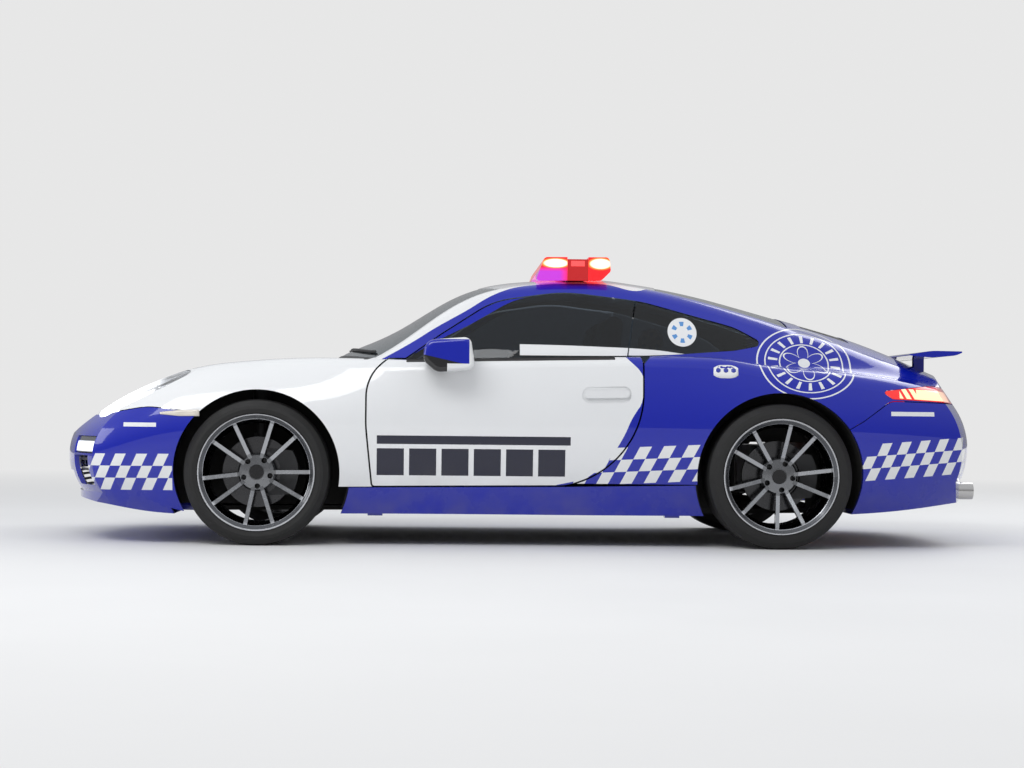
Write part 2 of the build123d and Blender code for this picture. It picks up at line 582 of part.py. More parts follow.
def rim(h, turn):
    """Five-twin-spoke rim of half width h, with hub, brake disc, bolt holes and centre cap."""
    r, hub = RIM_R, HUB_FACE
    outside = [(r, -h), (r, 7 - h), (r - 15, 14 - h), (r - 17, 50 - h), (r - 33, 72 - h),
               (r - 33, h - 86), (r - 17, h - 60), (r - 15, h - 14), (r, h - 7), (r, h)]
    inside = [(r - 9, h), (r - 24, h - 14), (r - 26, h - 56), (r - 42, h - 82), (r - 42, 68 - h),
              (r - 25, 44 - h), (r - 9, -h)]
    barrel = ring(outside + inside)
    centre = ring([(34, hub), (85, hub), (88, hub + 22), (80, hub + 30), (36, hub + 34), (34, hub + 26)])
    blade = [(60, hub + 4, 0), (120, hub + 12, 0), (r - 21, h - 40, 0), (r - 21, h - 10, 0),
             (r - 35, h - 8, 0), (70, hub + 31, 0)]
    spoke = extrude(Plane.XZ * corner_outline(blade), amount=9, both=True)
    spokes = [Rot(0, 0, turn + 72 * k + off) * spoke for k in range(5) for off in (-15, 15)]
    lugs = [Rot(0, 0, turn + 72 * k) * Pos(65, 0, hub + 20) * Cylinder(13, 60) for k in range(5)]
    disc = ring([(34, hub), (80, hub), (80, hub - 44), (165, hub - 44), (165, hub - 72), (72, hub - 72),
                 (72, hub - 8), (34, hub - 8)])
    cap = Pos(0, 0, hub + 28) * Cylinder(34.5, 8)
    return (barrel + spokes + centre + disc + cap) - lugs


def tyre(r, h, w):
    """Hollow tyre of radius r and width w on a rim of half width h."""
    b, bead = w / 2, RIM_R - 14
    half = [(bead, 18 - h), (RIM_R + 2.5, 11 - h), (RIM_R + 4.5, 2 - h), (RIM_R + 24.5, -b),
            (r - 30, 3 - b), (r - 6, 22 - b), (r, 48 - b)]
    lining = [(r - 14, b - 36), (r - 34, b - 15), (RIM_R + 10.5, b - 12), (bead, h - 34)]
    across = [(p, -z) for p, z in reversed(half)]
    return ring(half + across + lining[::-1] + [(p, -z) for p, z in lining])


# One row for each end: name, axle x, wheel y, tyre radius, tyre width, half width of the rim, spoke turn
WHEELS = [
    ("front", fx, FRONT_WHEEL_Y, FRONT_TYRE_R, FRONT_TYRE_W, FRONT_RIM_H, 57.8),
    ("rear", rx, REAR_WHEEL_Y, REAR_TYRE_R, REAR_TYRE_W, REAR_RIM_H, 64.8),
]
for end, x, y, r, w, h, turn in WHEELS:
    place = Pos(x, -y, r) * Rot(90, 0, 0)
    keep_pair(f"rim_{end}", place * rim(h, turn))
    keep_pair(f"tyre_{end}", place * tyre(r, h, w))

# Steered wheel's turning axis as (y, z) of its lower and upper end
PIN_LOW = (690.0, 215.0)
PIN_HIGH = (550.0, 830.0)


def pin(z):
    """Point of the left turning axis at height z."""
    y = PIN_LOW[0] + (PIN_HIGH[0] - PIN_LOW[0]) * (z - PIN_LOW[1]) / (PIN_HIGH[1] - PIN_LOW[1])
    return (fx, -y, z)


def brake_caliper(x, z, y, back):
    """Caliper astride the disc behind the axle, with the bracket that holds it."""
    sector = [(x + 40, z - 110), (x + 190, z - 100), (x + 190, z + 100), (x + 40, z + 110)]
    body = cylinder_y(x, z, 190, -(y + 36), -(y - 36)) - cylinder_y(x, z, 108, -BIG, 0)
    slot = cylinder_y(x, z, 171, -(y + 20), -(y - 20))
    bracket = box(x + 10, x + 150, -(y - 34), back, z - 40, z + 40)
    return ((body & side_prism(sector, -(y + 38), -(y - 38))) - slot) + bracket


# Front uprights with strut and caliper, turning about the leaning axis: front view (y, z)
HUB_CLEAR = 16.0
UPRIGHT = [(-702, 222), (-672, 222), (-610, 520), (-636, 520), (-690, 380), (-712, 300)]
STRUT_R, SPRING_R, STRUT_TOP_R = 22.0, 42.0, 46.0
BEARING_R = 44.0
front_hub = FRONT_WHEEL_Y + HUB_FACE
upright = front_prism(UPRIGHT, fx - 32, fx + 32)
bearing = cylinder_y(fx, fz, BEARING_R, -(front_hub - HUB_CLEAR), -660)
strut = rod(pin(430), pin(756), STRUT_R)
spring = rod(pin(664), pin(750), SPRING_R)
caliper = brake_caliper(fx, fz, front_hub - DISC_BACK, -672)
keep_pair("knuckle", upright + [bearing, strut, spring, caliper])

# Suspension carried by the body
ARM_LOW, ARM_HIGH, ARM_IN, ARM_OUT = 186.0, 206.0, 380.0, 700.0
arm = box(fx - 30, fx + 30, -ARM_OUT, -ARM_IN, ARM_LOW, ARM_HIGH)
cross = box(fx - 60, fx + 60, -ARM_IN - 2, ARM_IN + 2, ARM_LOW - 10, ARM_HIGH + 20)
keep("front_suspension", cross + both(arm), *both(rod(pin(762), pin(776), STRUT_TOP_R)))
REAR_PIN_Y, LINK_DROP = 690.0, 120.0
REAR_BEAM_X, REAR_BEAM_HALF = (-160.0, 90.0), 340.0
rear_hub = REAR_WHEEL_Y + HUB_FACE - HUB_CLEAR
lower_pin = (rx, -REAR_PIN_Y, rz - LINK_DROP)
upper_pin = (rx, -REAR_PIN_Y, rz + LINK_DROP)
rear_side = box(rx - 35, rx + 35, -REAR_PIN_Y - 10, -REAR_PIN_Y + 18, rz - LINK_DROP - 10, rz + LINK_DROP + 10)
rear_side += [
    cylinder_y(rx, rz, BEARING_R, -rear_hub, -REAR_PIN_Y + 10),
    cylinder_y(rx, rz, 18, -rear_hub, -130),
    rod(lower_pin, (rx - 135, 10 - REAR_BEAM_HALF, rz - LINK_DROP), 16),
    rod(lower_pin, (rx + 120, 10 - REAR_BEAM_HALF, rz - LINK_DROP), 14),
    rod(upper_pin, (rx - 60, -420, rz + 90), 14),
    brake_caliper(rx, rz, REAR_WHEEL_Y + HUB_FACE - DISC_BACK, -REAR_PIN_Y + 10)]
beams = [box(rx + x, rx + x + wide, -REAR_BEAM_HALF, REAR_BEAM_HALF, rz - LINK_DROP - 25, rz - LINK_DROP + 25)
         for x, wide in zip(REAR_BEAM_X, (50, 60))]
keep("rear_suspension", beams[0] + both(rear_side) + beams[1])
keep("engine", box(1330, 1800, -330, 330, 260, 600) + box(1110, 1330, -120, 120, 250, 480))


# Underbody: floor, tunnel, two bulkheads and a shelf, with a cup over each wheel
def cup(x, z, r, y_in):
    """Wheelhouse of inner radius r whose inner wall stands at y_in."""
    shell = cylinder_y(x, z, r + CUP_WALL, -850, -y_in) - cylinder_y(x, z, r, -855, -y_in - CUP_WALL)
    return shell - box(x - 600, x + 600, -BIG, BIG, -BIG, 176)


FIREWALL_X, BULKHEAD_X, PLATE = -1020.0, 1010.0, 15.0
SHELF_Z = 868.0
TUNNEL_HALF, TUNNEL_TOP, TUNNEL_WALL = 130.0, 330.0, 12.0
front_well = cylinder_y(fx, fz, FRONT_CUP_R + CUP_WALL, -900, -FRONT_CUP_Y)
rear_well = cylinder_y(rx, rz, REAR_ARCH_R + CUP_WALL, -900, -REAR_CUP_Y)
strut_hole = rod(pin(700), pin(800), STRUT_TOP_R + 16)
arm_slot = box(fx - 50, fx + 50, -460, -400, 150, 240)
front_cup = cup(fx, fz, FRONT_CUP_R, FRONT_CUP_Y) - [arm_slot, strut_hole]
rear_cup = cup(rx, rz, REAR_ARCH_R, REAR_CUP_Y) - box(rx - 190, rx + 170, -600, -560, 150, 500)
firewall = box(FIREWALL_X, FIREWALL_X + PLATE, -690, 690, 160, 830)
bulkhead = box(BULKHEAD_X, BULKHEAD_X + PLATE, -690, 690, 160, 880)
shelf = box(BULKHEAD_X, 1290, -600, 600, SHELF_Z, SHELF_Z + 12)
tunnel = box(FIREWALL_X + 10, BULKHEAD_X + 5, -TUNNEL_HALF, TUNNEL_HALF, 165, TUNNEL_TOP)
tunnel_bore = box(FIREWALL_X + 30, BULKHEAD_X - 15, TUNNEL_WALL - TUNNEL_HALF, TUNNEL_HALF - TUNNEL_WALL, 100,
                  TUNNEL_TOP - TUNNEL_WALL)
floor_skin = wall & box(-1500, 1480, -699, 699, 0, 215)
walls_inside = inner & (firewall + [bulkhead, shelf])
keep("underbody", (floor_skin + [walls_inside, tunnel]) - [*both(front_well), *both(rear_well), tunnel_bore])
keep("wheelhouses", *[inner & one for one in both(front_cup) + both(rear_cup)])
TUB_OUT = [(-2020, 240), (-1032, 240), (-1032, 790), (-2020, 540)]
TUB_IN = [(-2012, 248), (-1040, 248), (-1040, 1000), (-2012, 1000)]
TUB_HALF, TUB_WALL = 418.0, 8.0
keep("luggage_tub", side_prism(TUB_OUT, -TUB_HALF, TUB_HALF)
     - side_prism(TUB_IN, TUB_WALL - TUB_HALF, TUB_HALF - TUB_WALL))

# Cabin: side views (x, z, corner radius)
DASH = [
    (-995, 520), (-995, 760), (-900, 830, 60), (-600, 826, 40), (-560, 700, 60), (-720, 560, 80), (-760, 520),
]
CONSOLE = [(-800, 345), (-800, 600), (-560, 560, 80), (-300, 440, 80), (250, 430), (250, 345)]
DASH_HALF, CONSOLE_HALF = 670.0, 125.0
dash_wells = both(cylinder_y(fx, fz, FRONT_CUP_R + 15, -900, -430))
dash = side_prism(DASH, -DASH_HALF, DASH_HALF) - dash_wells
keep("dashboard", dash + side_prism(CONSOLE, -CONSOLE_HALF, CONSOLE_HALF))

STEERING_AT = (-400.0, 370.0, 730.0)
COLUMN_LEAN = 24.0
RIM_MEAN_R, RIM_SECTION_R, HUB_R = 176.0, 13.0, 52.0
wheel_spokes = [Rot(0, 0, a) * Pos(RIM_MEAN_R / 2, 0, 0) * Box(160, 30, 14) for a in (0, 120, 240)]
column = Pos(0, 0, 45) * Cylinder(22, 90)
steering = Torus(RIM_MEAN_R, RIM_SECTION_R) + [Cylinder(HUB_R, 40), *wheel_spokes, column]
keep("steering_wheel", Pos(*STEERING_AT) * Rot(0, -90 - COLUMN_LEAN, 0) * steering)

SEAT_X, SEAT_Y, CUSHION_HALF, BACK_HALF = -20.0, 370.0, 240.0, 230.0
CUSHION = [(-270, 180), (-270, 360, 60), (210, 330, 40), (210, 180)]
BACKREST = [(150, 300), (310, 300), (460, 900, 40), (480, 1090, 40), (400, 1100, 40), (340, 900, 60)]
REAR_SEAT = [(620, 345), (620, 430, 40), (860, 400, 60), (960, 840, 30), (1000, 840), (1000, 345)]
cushion = side_prism(CUSHION, -SEAT_Y - CUSHION_HALF, -SEAT_Y + CUSHION_HALF)
keep("front_seats", *both(cushion + side_prism(BACKREST, -SEAT_Y - BACK_HALF, -SEAT_Y + BACK_HALF)))
keep("rear_seats", *both(side_prism(REAR_SEAT, -520, -140)))

# Door mirrors on a foot: side view of the shell (x, z, corner radius), front view of the foot (y, z)
MIRROR = [(-484, 868, 50), (-470, 962, 55), (-262, 978, 34), (-238, 826, 34), (-420, 812, 60)]
MIRROR_FOOT = [(-775, 905), (-785, 893), (-880, 850), (-880, 880)]
mirror_shell = side_prism(MIRROR, -988, -850)
mirror_body = fillet(mirror_shell.edges(), 22)
keep_pair("mirror", (mirror_body + front_prism(MIRROR_FOOT, -420, -340)) - low)

# Rear wing on two struts, silencers with their pipes, and the light bar arched over the roof
WING = [(1859, 930, 3), (1990, 952, 300), (2152, 950, 4), (2110, 930, 100), (1990, 918, 300)]
WING_HALF, WING_STRUT_Y = 560.0, 300.0
wing_struts = [box(1960, 2010, y - 20, y + 20, 800, 935) for y in (-WING_STRUT_Y, WING_STRUT_Y)]
keep("rear_spoiler", (side_prism(WING, -WING_HALF, WING_HALF) + wing_struts) - outer)
SILENCER_X, SILENCER_Y, SILENCER_R, SILENCER_L = 1930.0, 430.0, 85.0, 260.0
silencer = Pos(SILENCER_X, -SILENCER_Y, PIPE_Z) * Rot(90, 0, 0) * Cylinder(SILENCER_R, SILENCER_L)
tube = Cylinder(PIPE_R, 200) - Pos(0, 0, 20) * Cylinder(PIPE_BORE, 200)
pipe = Pos(2105, -PIPE_Y, PIPE_Z) * Rot(0, 90, 0) * tube
keep("exhaust", *both(silencer + pipe))
BAR = [(54, 1268, 10), (96, 1381, 22), (408, 1383, 18), (417, 1316, 20), (372, 1271, 20)]
BAR_HALF, BAR_ARCH_R, BAR_ARCH_TOP = 590.0, 2752.0, 1326.0
SPINE_X, SPINE_TOP, BAR_SEAM = (207.0, 308.0), 1372.0, 0.5
bar = side_prism(BAR, -BAR_HALF, BAR_HALF)
bar -= Pos(250, 0, BAR_ARCH_TOP - BAR_ARCH_R) * Rot(0, 90, 0) * Cylinder(BAR_ARCH_R, 600)
feet = [box(SPINE_X[0] + 9, SPINE_X[1] - 8, y - 45, y + 45, 1200, 1318) for y in (-300, 300)]
keep("light_bar", ((bar & box(*SPINE_X, -BAR_HALF, BAR_HALF, 1200, SPINE_TOP)) + feet) - outer)
keep("light_bar_lenses", bar & box(0, SPINE_X[0] - BAR_SEAM, -BIG, BIG, 0, BIG),
     bar & box(SPINE_X[1] + BAR_SEAM, 500, -BIG, BIG, 0, BIG))

os.makedirs("parts", exist_ok=True)
for name, shape in parts.items():
    export_step(shape, f"parts/{name}.step")
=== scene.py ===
"""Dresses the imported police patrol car: finishes, livery, thin trim, lamps, floor, light and camera."""
import math

import bpy
from mathutils import Matrix, Vector
from mathutils.bvhtree import BVHTree


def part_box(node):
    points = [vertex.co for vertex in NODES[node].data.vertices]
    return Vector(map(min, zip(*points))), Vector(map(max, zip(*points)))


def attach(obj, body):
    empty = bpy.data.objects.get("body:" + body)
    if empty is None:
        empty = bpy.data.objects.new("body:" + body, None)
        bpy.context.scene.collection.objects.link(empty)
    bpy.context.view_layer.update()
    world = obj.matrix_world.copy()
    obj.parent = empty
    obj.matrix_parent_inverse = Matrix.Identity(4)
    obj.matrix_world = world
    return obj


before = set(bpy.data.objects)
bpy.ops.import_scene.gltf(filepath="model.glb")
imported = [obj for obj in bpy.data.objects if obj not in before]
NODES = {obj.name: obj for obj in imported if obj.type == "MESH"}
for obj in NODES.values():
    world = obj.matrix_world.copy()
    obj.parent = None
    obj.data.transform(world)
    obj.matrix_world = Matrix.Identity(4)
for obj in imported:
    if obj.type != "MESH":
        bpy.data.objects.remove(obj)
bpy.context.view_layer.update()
scene = bpy.context.scene

# Camera fitted to the photograph, in metres and radians
EYE = (-0.4311, -10.1119, 0.6330)
YAW, PITCH, ROLL = 0.03948, 0.01408, 0.01037
FOCAL_PX, WIDTH_PX = 1981.85, 1024


def add_camera():
    forward = Vector((math.sin(YAW) * math.cos(PITCH), math.cos(YAW) * math.cos(PITCH), math.sin(PITCH)))
    level = Vector((math.cos(YAW), -math.sin(YAW), 0.0))
    above = level.cross(forward)
    right = level * math.cos(ROLL) + above * math.sin(ROLL)
    up = above * math.cos(ROLL) - level * math.sin(ROLL)
    data = bpy.data.cameras.new("camera")
    data.sensor_width = 36.0
    data.lens = FOCAL_PX * data.sensor_width / WIDTH_PX
    data.clip_end = 200.0
    camera = bpy.data.objects.new("camera", data)
    turn = Matrix((right, up, -forward)).transposed().to_4x4()
    camera.matrix_world = Matrix.Translation(EYE) @ turn
    scene.collection.objects.link(camera)
    scene.camera = camera


# Colours (linear)
WHITE = (0.78, 0.79, 0.80)
BLUE = (0.003, 0.012, 0.36)
NAVY = (0.003, 0.004, 0.022)
BLACK = (0.014, 0.014, 0.015)
TRIM = (0.020, 0.020, 0.021)
MIRROR = (0.85, 0.86, 0.88)
LAMP_WHITE = (0.95, 0.97, 1.0)
BACKDROP = (0.80, 0.80, 0.80)


class Nodes:
    """Short calls for building one material's node tree."""

    def __init__(self, name):
        self.mat = bpy.data.materials.new(name)
        self.mat.use_nodes = True
        self.tree = self.mat.node_tree
        self.shader = self.tree.nodes["Principled BSDF"]
        self.out = self.tree.nodes["Material Output"]
        self.coords = None

    def new(self, kind, **settings):
        node = self.tree.nodes.new(kind)
        for key, value in settings.items():
            setattr(node, key, value)
        return node

    def put(self, socket, value):
        if hasattr(value, "is_linked") or isinstance(value, bpy.types.NodeSocket):
            self.tree.links.new(value, socket)
        else:
            socket.default_value = value

    def set(self, **values):
        for key, value in values.items():
            self.put(self.shader.inputs[key.replace("_", " ")], value)
        return self

    def place(self):
        """Object coordinates, which are the car's own frame at rest."""
        if self.coords is None:
            self.coords = self.new("ShaderNodeTexCoord").outputs["Object"]
        return self.coords

    def math(self, op, a, b=None, c=None):
        node = self.new("ShaderNodeMath", operation=op)
        for i, value in enumerate((a, b, c)):
            if value is not None:
                self.put(node.inputs[i], value)
        return node.outputs[0]

    def xyz(self):
        split = self.new("ShaderNodeSeparateXYZ")
        self.put(split.inputs[0], self.place())
        return split.outputs

    def mix(self, factor, a, b):
        node = self.new("ShaderNodeMix", data_type="RGBA")
        self.put(node.inputs["Factor"], factor)
        for socket, value in (("A", a), ("B", b)):
            picked = [s for s in node.inputs if s.name == socket and s.type == "RGBA"][0]
            self.put(picked, (*value, 1.0) if isinstance(value, tuple) and len(value) == 3 else value)
        return [s for s in node.outputs if s.type == "RGBA"][0]

    def noise(self, scale, detail=3.0, rough=0.5):
        node = self.new("ShaderNodeTexNoise")
        self.put(node.inputs["Vector"], self.place())
        node.inputs["Scale"].default_value = scale
        node.inputs["Detail"].default_value = detail
        node.inputs["Roughness"].default_value = rough
        return node.outputs["Fac"]

    def ramp(self, value, low, high, out_low=0.0, out_high=1.0):
        node = self.new("ShaderNodeMapRange")
        self.put(node.inputs["Value"], value)
        node.inputs["From Min"].default_value = low
        node.inputs["From Max"].default_value = high
        node.inputs["To Min"].default_value = out_low
        node.inputs["To Max"].default_value = out_high
        return node.outputs["Result"]

    def bump(self, height, strength=0.1, distance=0.001):
        node = self.new("ShaderNodeBump")
        node.inputs["Strength"].default_value = strength
        node.inputs["Distance"].default_value = distance
        self.put(node.inputs["Height"], height)
        self.put(self.shader.inputs["Normal"], node.outputs["Normal"])
        return self


def plain(name, colour, rough, metal=0.0, coat=0.0, grain=60.0, vary=0.06, bump=0.05, ior=1.5):
    """Finish with a faint mottle in its colour and gloss, so it is never one flat value."""
    n = Nodes(name)
    mottle = n.noise(grain, 4.0)
    dark = tuple(c * (1.0 - vary) for c in colour)
    light = tuple(min(1.0, c * (1.0 + vary)) for c in colour)
    n.set(Base_Color=n.mix(mottle, dark, light), Metallic=metal, IOR=ior)
    n.set(Roughness=n.ramp(mottle, 0.3, 0.7, max(0.02, rough - 0.04), rough + 0.05))
    n.shader.inputs["Coat Weight"].default_value = coat
    n.shader.inputs["Coat Roughness"].default_value = 0.04
    if bump:
        n.bump(n.noise(grain * 6, 2.0), bump, 0.0006)
    return n.mat


def smears(n):
    """Roughness of glass with faint smears on it."""
    return n.ramp(n.noise(3.0), 0.3, 0.8, 0.0, 0.03)


def clear_glass(name, tint):
    n = Nodes(name)
    n.set(Base_Color=(*tint, 1.0), IOR=1.45, Roughness=smears(n))
    n.shader.inputs["Transmission Weight"].default_value = 1.0
    return n


# Places along the headlamp between which its glare rises
GLARE_X = (-1.70, -1.86)


def lamp_lens():
    """Clear headlamp lens that glares white towards its front."""
    n = clear_glass("lamp_lens", LAMP_WHITE)
    n.shader.inputs["Emission Color"].default_value = (*LAMP_WHITE, 1.0)
    n.put(n.shader.inputs["Emission Strength"], n.ramp(n.xyz()["X"], *GLARE_X, 0.04, 0.85))
    return n.mat


def finish_node(node, material):
    """Gives every face of a CAD node one material."""
    slots = NODES[node].data.materials
    slots.clear()
    slots.append(material)
    for poly in NODES[node].data.polygons:
        poly.material_index = 0


CURVE_REACH = 2.5


def curve(n, value, points):
    """Height of a line through (input, height) points, all within CURVE_REACH metres of zero."""
    reach = CURVE_REACH
    node = n.new("ShaderNodeFloatCurve")
    n.put(node.inputs["Value"], n.ramp(value, -reach, reach))
    line = node.mapping.curves[0]
    scaled = [((x + reach) / (2 * reach), (z + reach) / (2 * reach)) for x, z in points]
    line.points[0].location, line.points[-1].location = (0.0, scaled[0][1]), (1.0, scaled[-1][1])
    for x, z in scaled:
        line.points.new(x, z)
    node.mapping.update()
    return n.ramp(node.outputs["Value"], 0.0, 1.0, -reach, reach)


def above(n, a, b):
    return n.math("GREATER_THAN", a, b)


def below(n, a, b):
    return n.math("LESS_THAN", a, b)


def within(n, value, low, high):
    return n.math("MULTIPLY", above(n, value, low), below(n, value, high))


def either(n, *masks):
    total = masks[0]
    for mask in masks[1:]:
        total = n.math("MAXIMUM", total, mask)
    return total


def both_of(n, *masks):
    total = masks[0]
    for mask in masks[1:]:
        total = n.math("MULTIPLY", total, mask)
    return total


def length(n, a, b):
    """Length of the vector (a, b)."""
    return n.math("SQRT", n.math("MULTIPLY_ADD", a, a, n.math("MULTIPLY", b, b)))


def angle_of(n, a, b):
    """Angle of the vector (a, b), from 0 to a full turn."""
    return n.math("ADD", n.math("ARCTAN2", b, a), math.pi)


# Half width past which a face belongs to the car's flank
FLANK_Y = 0.70


def on_flank(n, y):
    return above(n, n.math("ABSOLUTE", y), FLANK_Y)


# Check bands: front x, rear x, floor z at the front, rise per metre, row height, cell width, lean
CHECK_BANDS = [
    (-2.142, -1.640, 0.2485, 0.0091, 0.0565, 0.0508, 0.478),
    (0.163, 0.830, 0.2869, 0.0464, 0.0569, 0.0564, 0.537),
    (1.5545, 2.120, 0.3214, 0.0748, 0.0571, 0.0474, 0.445),
]
CHECK_ROWS = 3
# Rear edge of the door's white: z, x
DOOR_REAR_EDGE = [
    (0.295, 0.150), (0.307, 0.214), (0.313, 0.245), (0.327, 0.288), (0.356, 0.330),
    (0.409, 0.388), (0.469, 0.430), (0.538, 0.468), (0.601, 0.496), (0.643, 0.521),
    (0.672, 0.540), (0.704, 0.548), (0.806, 0.549), (0.888, 0.480), (0.920, 0.453),
]
DOOR_EDGE_TOP_Z = 0.93


def checks(n, x, z, band):
    """Mask of the white cells in a band of leaning cells."""
    front, rear, floor_z, rise, height, width, lean = band
    up = n.math("SUBTRACT", z, n.math("MULTIPLY_ADD", n.math("SUBTRACT", x, front), rise, floor_z))
    along = n.math("MULTIPLY_ADD", up, -lean, n.math("SUBTRACT", x, front))
    column = n.math("FLOOR", n.math("DIVIDE", along, width))
    row = n.math("FLOOR", n.math("DIVIDE", up, height))
    odd = n.math("MODULO", n.math("ABSOLUTE", n.math("ADD", column, row)), 2.0)
    area = both_of(n, within(n, up, 0.0, CHECK_ROWS * height), above(n, along, 0.0), below(n, x, rear))
    return both_of(n, above(n, odd, 0.5), area)


# Badge on the rear wing: centre, its height over its length, and the radii of its lines
BADGE_X, BADGE_Z, BADGE_SQUASH = 1.335, 0.880, 0.74
BADGE_RINGS = [(0.168, 0.174), (0.140, 0.145), (0.087, 0.092)]
BADGE_RAYS, RAY_SPAN = 18, (0.098, 0.132)
BADGE_PETALS, PETAL_LENGTH, PETAL_LINE, BADGE_EYE_R = 6, 0.050, (0.028, 0.034), 0.022


def badge(n, x, z):
    """Mask of a generic badge in lines: oval rings, rays between them and a plain flower in the middle."""
    dx = n.math("MULTIPLY", n.math("SUBTRACT", x, BADGE_X), BADGE_SQUASH)
    dz = n.math("SUBTRACT", z, BADGE_Z)
    r, angle = length(n, dx, dz), angle_of(n, dx, dz)
    ray = n.math("FRACT", n.math("MULTIPLY", angle, BADGE_RAYS / (2 * math.pi)))
    rays = both_of(n, within(n, ray, 0.36, 0.64), within(n, r, *RAY_SPAN))
    petal = n.math("ABSOLUTE", n.math("SINE", n.math("MULTIPLY", angle, BADGE_PETALS / 2)))
    from_petal = n.math("SUBTRACT", r, n.math("MULTIPLY", petal, PETAL_LENGTH))
    flower = both_of(n, within(n, from_petal, *PETAL_LINE), above(n, r, PETAL_LINE[0]))
    rings = [within(n, r, *span) for span in BADGE_RINGS]
    return either(n, *rings, rays, flower, below(n, r, BADGE_EYE_R))


# Reach of the dark trim: of walls that face the cabin, and of a ceiling that faces down
WALL_X, WALL_FOOT_Z = (-0.95, 1.25), 0.20
CEILING_REAR_X, CEILING_FOOT_Z = 1.1, 1.0


def cabin_side(n):
    """Mask of the faces that look in at the cabin, or down from its roof, in the car's own frame."""
    x, y, z = n.xyz()
    facing = n.new("ShaderNodeSeparateXYZ")
    n.put(facing.inputs[0], n.new("ShaderNodeTexCoord").outputs["Normal"])
    outward = n.math("MULTIPLY", facing.outputs["Y"], n.math("SIGN", y))
    walls = both_of(n, below(n, outward, -0.35), within(n, x, *WALL_X), above(n, z, WALL_FOOT_Z))
    down = below(n, facing.outputs["Z"], -0.4)
    ceiling = both_of(n, down, below(n, x, CEILING_REAR_X), above(n, z, CEILING_FOOT_Z))
    return either(n, walls, ceiling)


def paint(n, colour, specks=0.03):
    """Clear-coated paint: faint flake, orange peel and a film of dust low down."""
    x, y, z = n.xyz()
    flake = n.noise(900.0, 2.0)
    dust = both_of(n, n.ramp(z, 0.42, 0.12, 0.0, 0.30), n.ramp(n.noise(7.0, 6.0), 0.35, 0.75))
    n.set(Base_Color=n.mix(dust, colour, (0.16, 0.15, 0.14)), Metallic=0.0, IOR=1.5)
    n.set(Roughness=n.ramp(dust, 0.0, 0.3, 0.22, 0.5))
    n.shader.inputs["Specular IOR Level"].default_value = 0.15
    n.shader.inputs["Coat Weight"].default_value = 1.0
    n.shader.inputs["Coat Roughness"].default_value = 0.03
    n.bump(n.math("MULTIPLY_ADD", flake, specks, n.noise(220.0, 1.0)), 0.012, 0.0005)
    return n.mat


def tone(n, colour, vary=0.05):
    flake = n.noise(1400.0, 1.0)
    return n.mix(flake, tuple(c * (1 - vary) for c in colour), tuple(min(1, c * (1 + vary)) for c in colour))


# The door's plain bars start at one place; each has its rear x, foot z and top z
BARS_FRONT_X = -0.693
THIN_BAR = (0.212, 0.478, 0.518)
BLOCK_BAR = (0.205, 0.332, 0.458)
BLOCK_PITCH, BLOCK_SHARE = 0.905 / 6, 0.84


def white_body():
    """White of doors, fenders, front lid and roof, with the door's plain bars and its part of the checks."""
    n = Nodes("white_livery")
    x, y, z = n.xyz()
    flank = on_flank(n, y)
    thin, big = [
        both_of(n, within(n, x, BARS_FRONT_X, rear), within(n, z, foot, top))
        for rear, foot, top in (THIN_BAR, BLOCK_BAR)
    ]
    block = n.math("FRACT", n.math("DIVIDE", n.math("ADD", x, BLOCK_PITCH - BARS_FRONT_X), BLOCK_PITCH))
    blocks = both_of(n, big, below(n, block, BLOCK_SHARE))
    white, blue = tone(n, WHITE), tone(n, BLUE)
    colour = n.mix(both_of(n, flank, either(n, thin, blocks)), white, (*NAVY, 1.0))
    behind = both_of(n, flank, above(n, x, curve(n, z, DOOR_REAR_EDGE)), below(n, z, DOOR_EDGE_TOP_Z))
    colour = n.mix(behind, colour, n.mix(checks(n, x, z, CHECK_BANDS[1]), blue, white))
    return paint(n, n.mix(cabin_side(n), colour, TRIM))


# Foot of the white above the side window, from the windscreen's foot to the roof's rear: x, z
WHITE_RAIL = [
    (-0.72, 0.856), (-0.687, 0.873), (-0.546, 0.953), (-0.417, 1.035), (-0.28, 1.114), (-0.17, 1.183),
    (-0.106, 1.213), (-0.031, 1.236), (0.108, 1.252), (0.369, 1.257), (0.60, 1.240), (0.66, 1.35),
]
WHITE_RAIL_REAR_X = 0.66
# Plain bars low on the nose and the tail: front x, rear x, foot z, top z
SHORT_BARS = [(-1.873, -1.716, 0.547, 0.566), (1.720, 1.935, 0.632, 0.652)]


def blue_body():
    """Blue of bumpers, sills, sides and tail, with checks, the badge and the windscreen pillars' white."""
    n = Nodes("blue_livery")
    x, y, z = n.xyz()
    cells = both_of(n, on_flank(n, y), either(n, *[checks(n, x, z, band) for band in CHECK_BANDS]))
    rail = both_of(n, above(n, z, curve(n, x, WHITE_RAIL)), below(n, x, WHITE_RAIL_REAR_X))
    bars = [
        both_of(n, within(n, x, front, rear), within(n, z, foot, top))
        for front, rear, foot, top in SHORT_BARS
    ]
    white = either(n, cells, rail, badge(n, x, z), *bars)
    return paint(n, n.mix(cabin_side(n), n.mix(white, tone(n, BLUE), tone(n, WHITE)), TRIM))


# Lower edge of the blue round the side window, which laps over the pane's front and top: x, z
BLUE_RIM = [
    (-0.62, 0.850), (-0.571, 0.878), (-0.42, 0.965), (-0.323, 1.015), (-0.263, 1.046),
    (-0.178, 1.096), (-0.057, 1.163), (0.065, 1.197), (0.167, 1.225), (0.30, 1.30),
]
# Painted reflection of a white light panel, as a white band along the foot of the side glass: its ends, then
# its top and foot as x, z
REFLECTION_X = (-0.026, 0.79)
REFLECTION_TOP = [(-0.50, 0.954), (-0.026, 0.954), (0.35, 0.946), (0.61, 0.934), (0.80, 0.913)]
REFLECTION_FOOT = [(-0.50, 0.901), (-0.026, 0.901), (0.55, 0.906), (0.68, 0.911), (0.80, 0.916)]
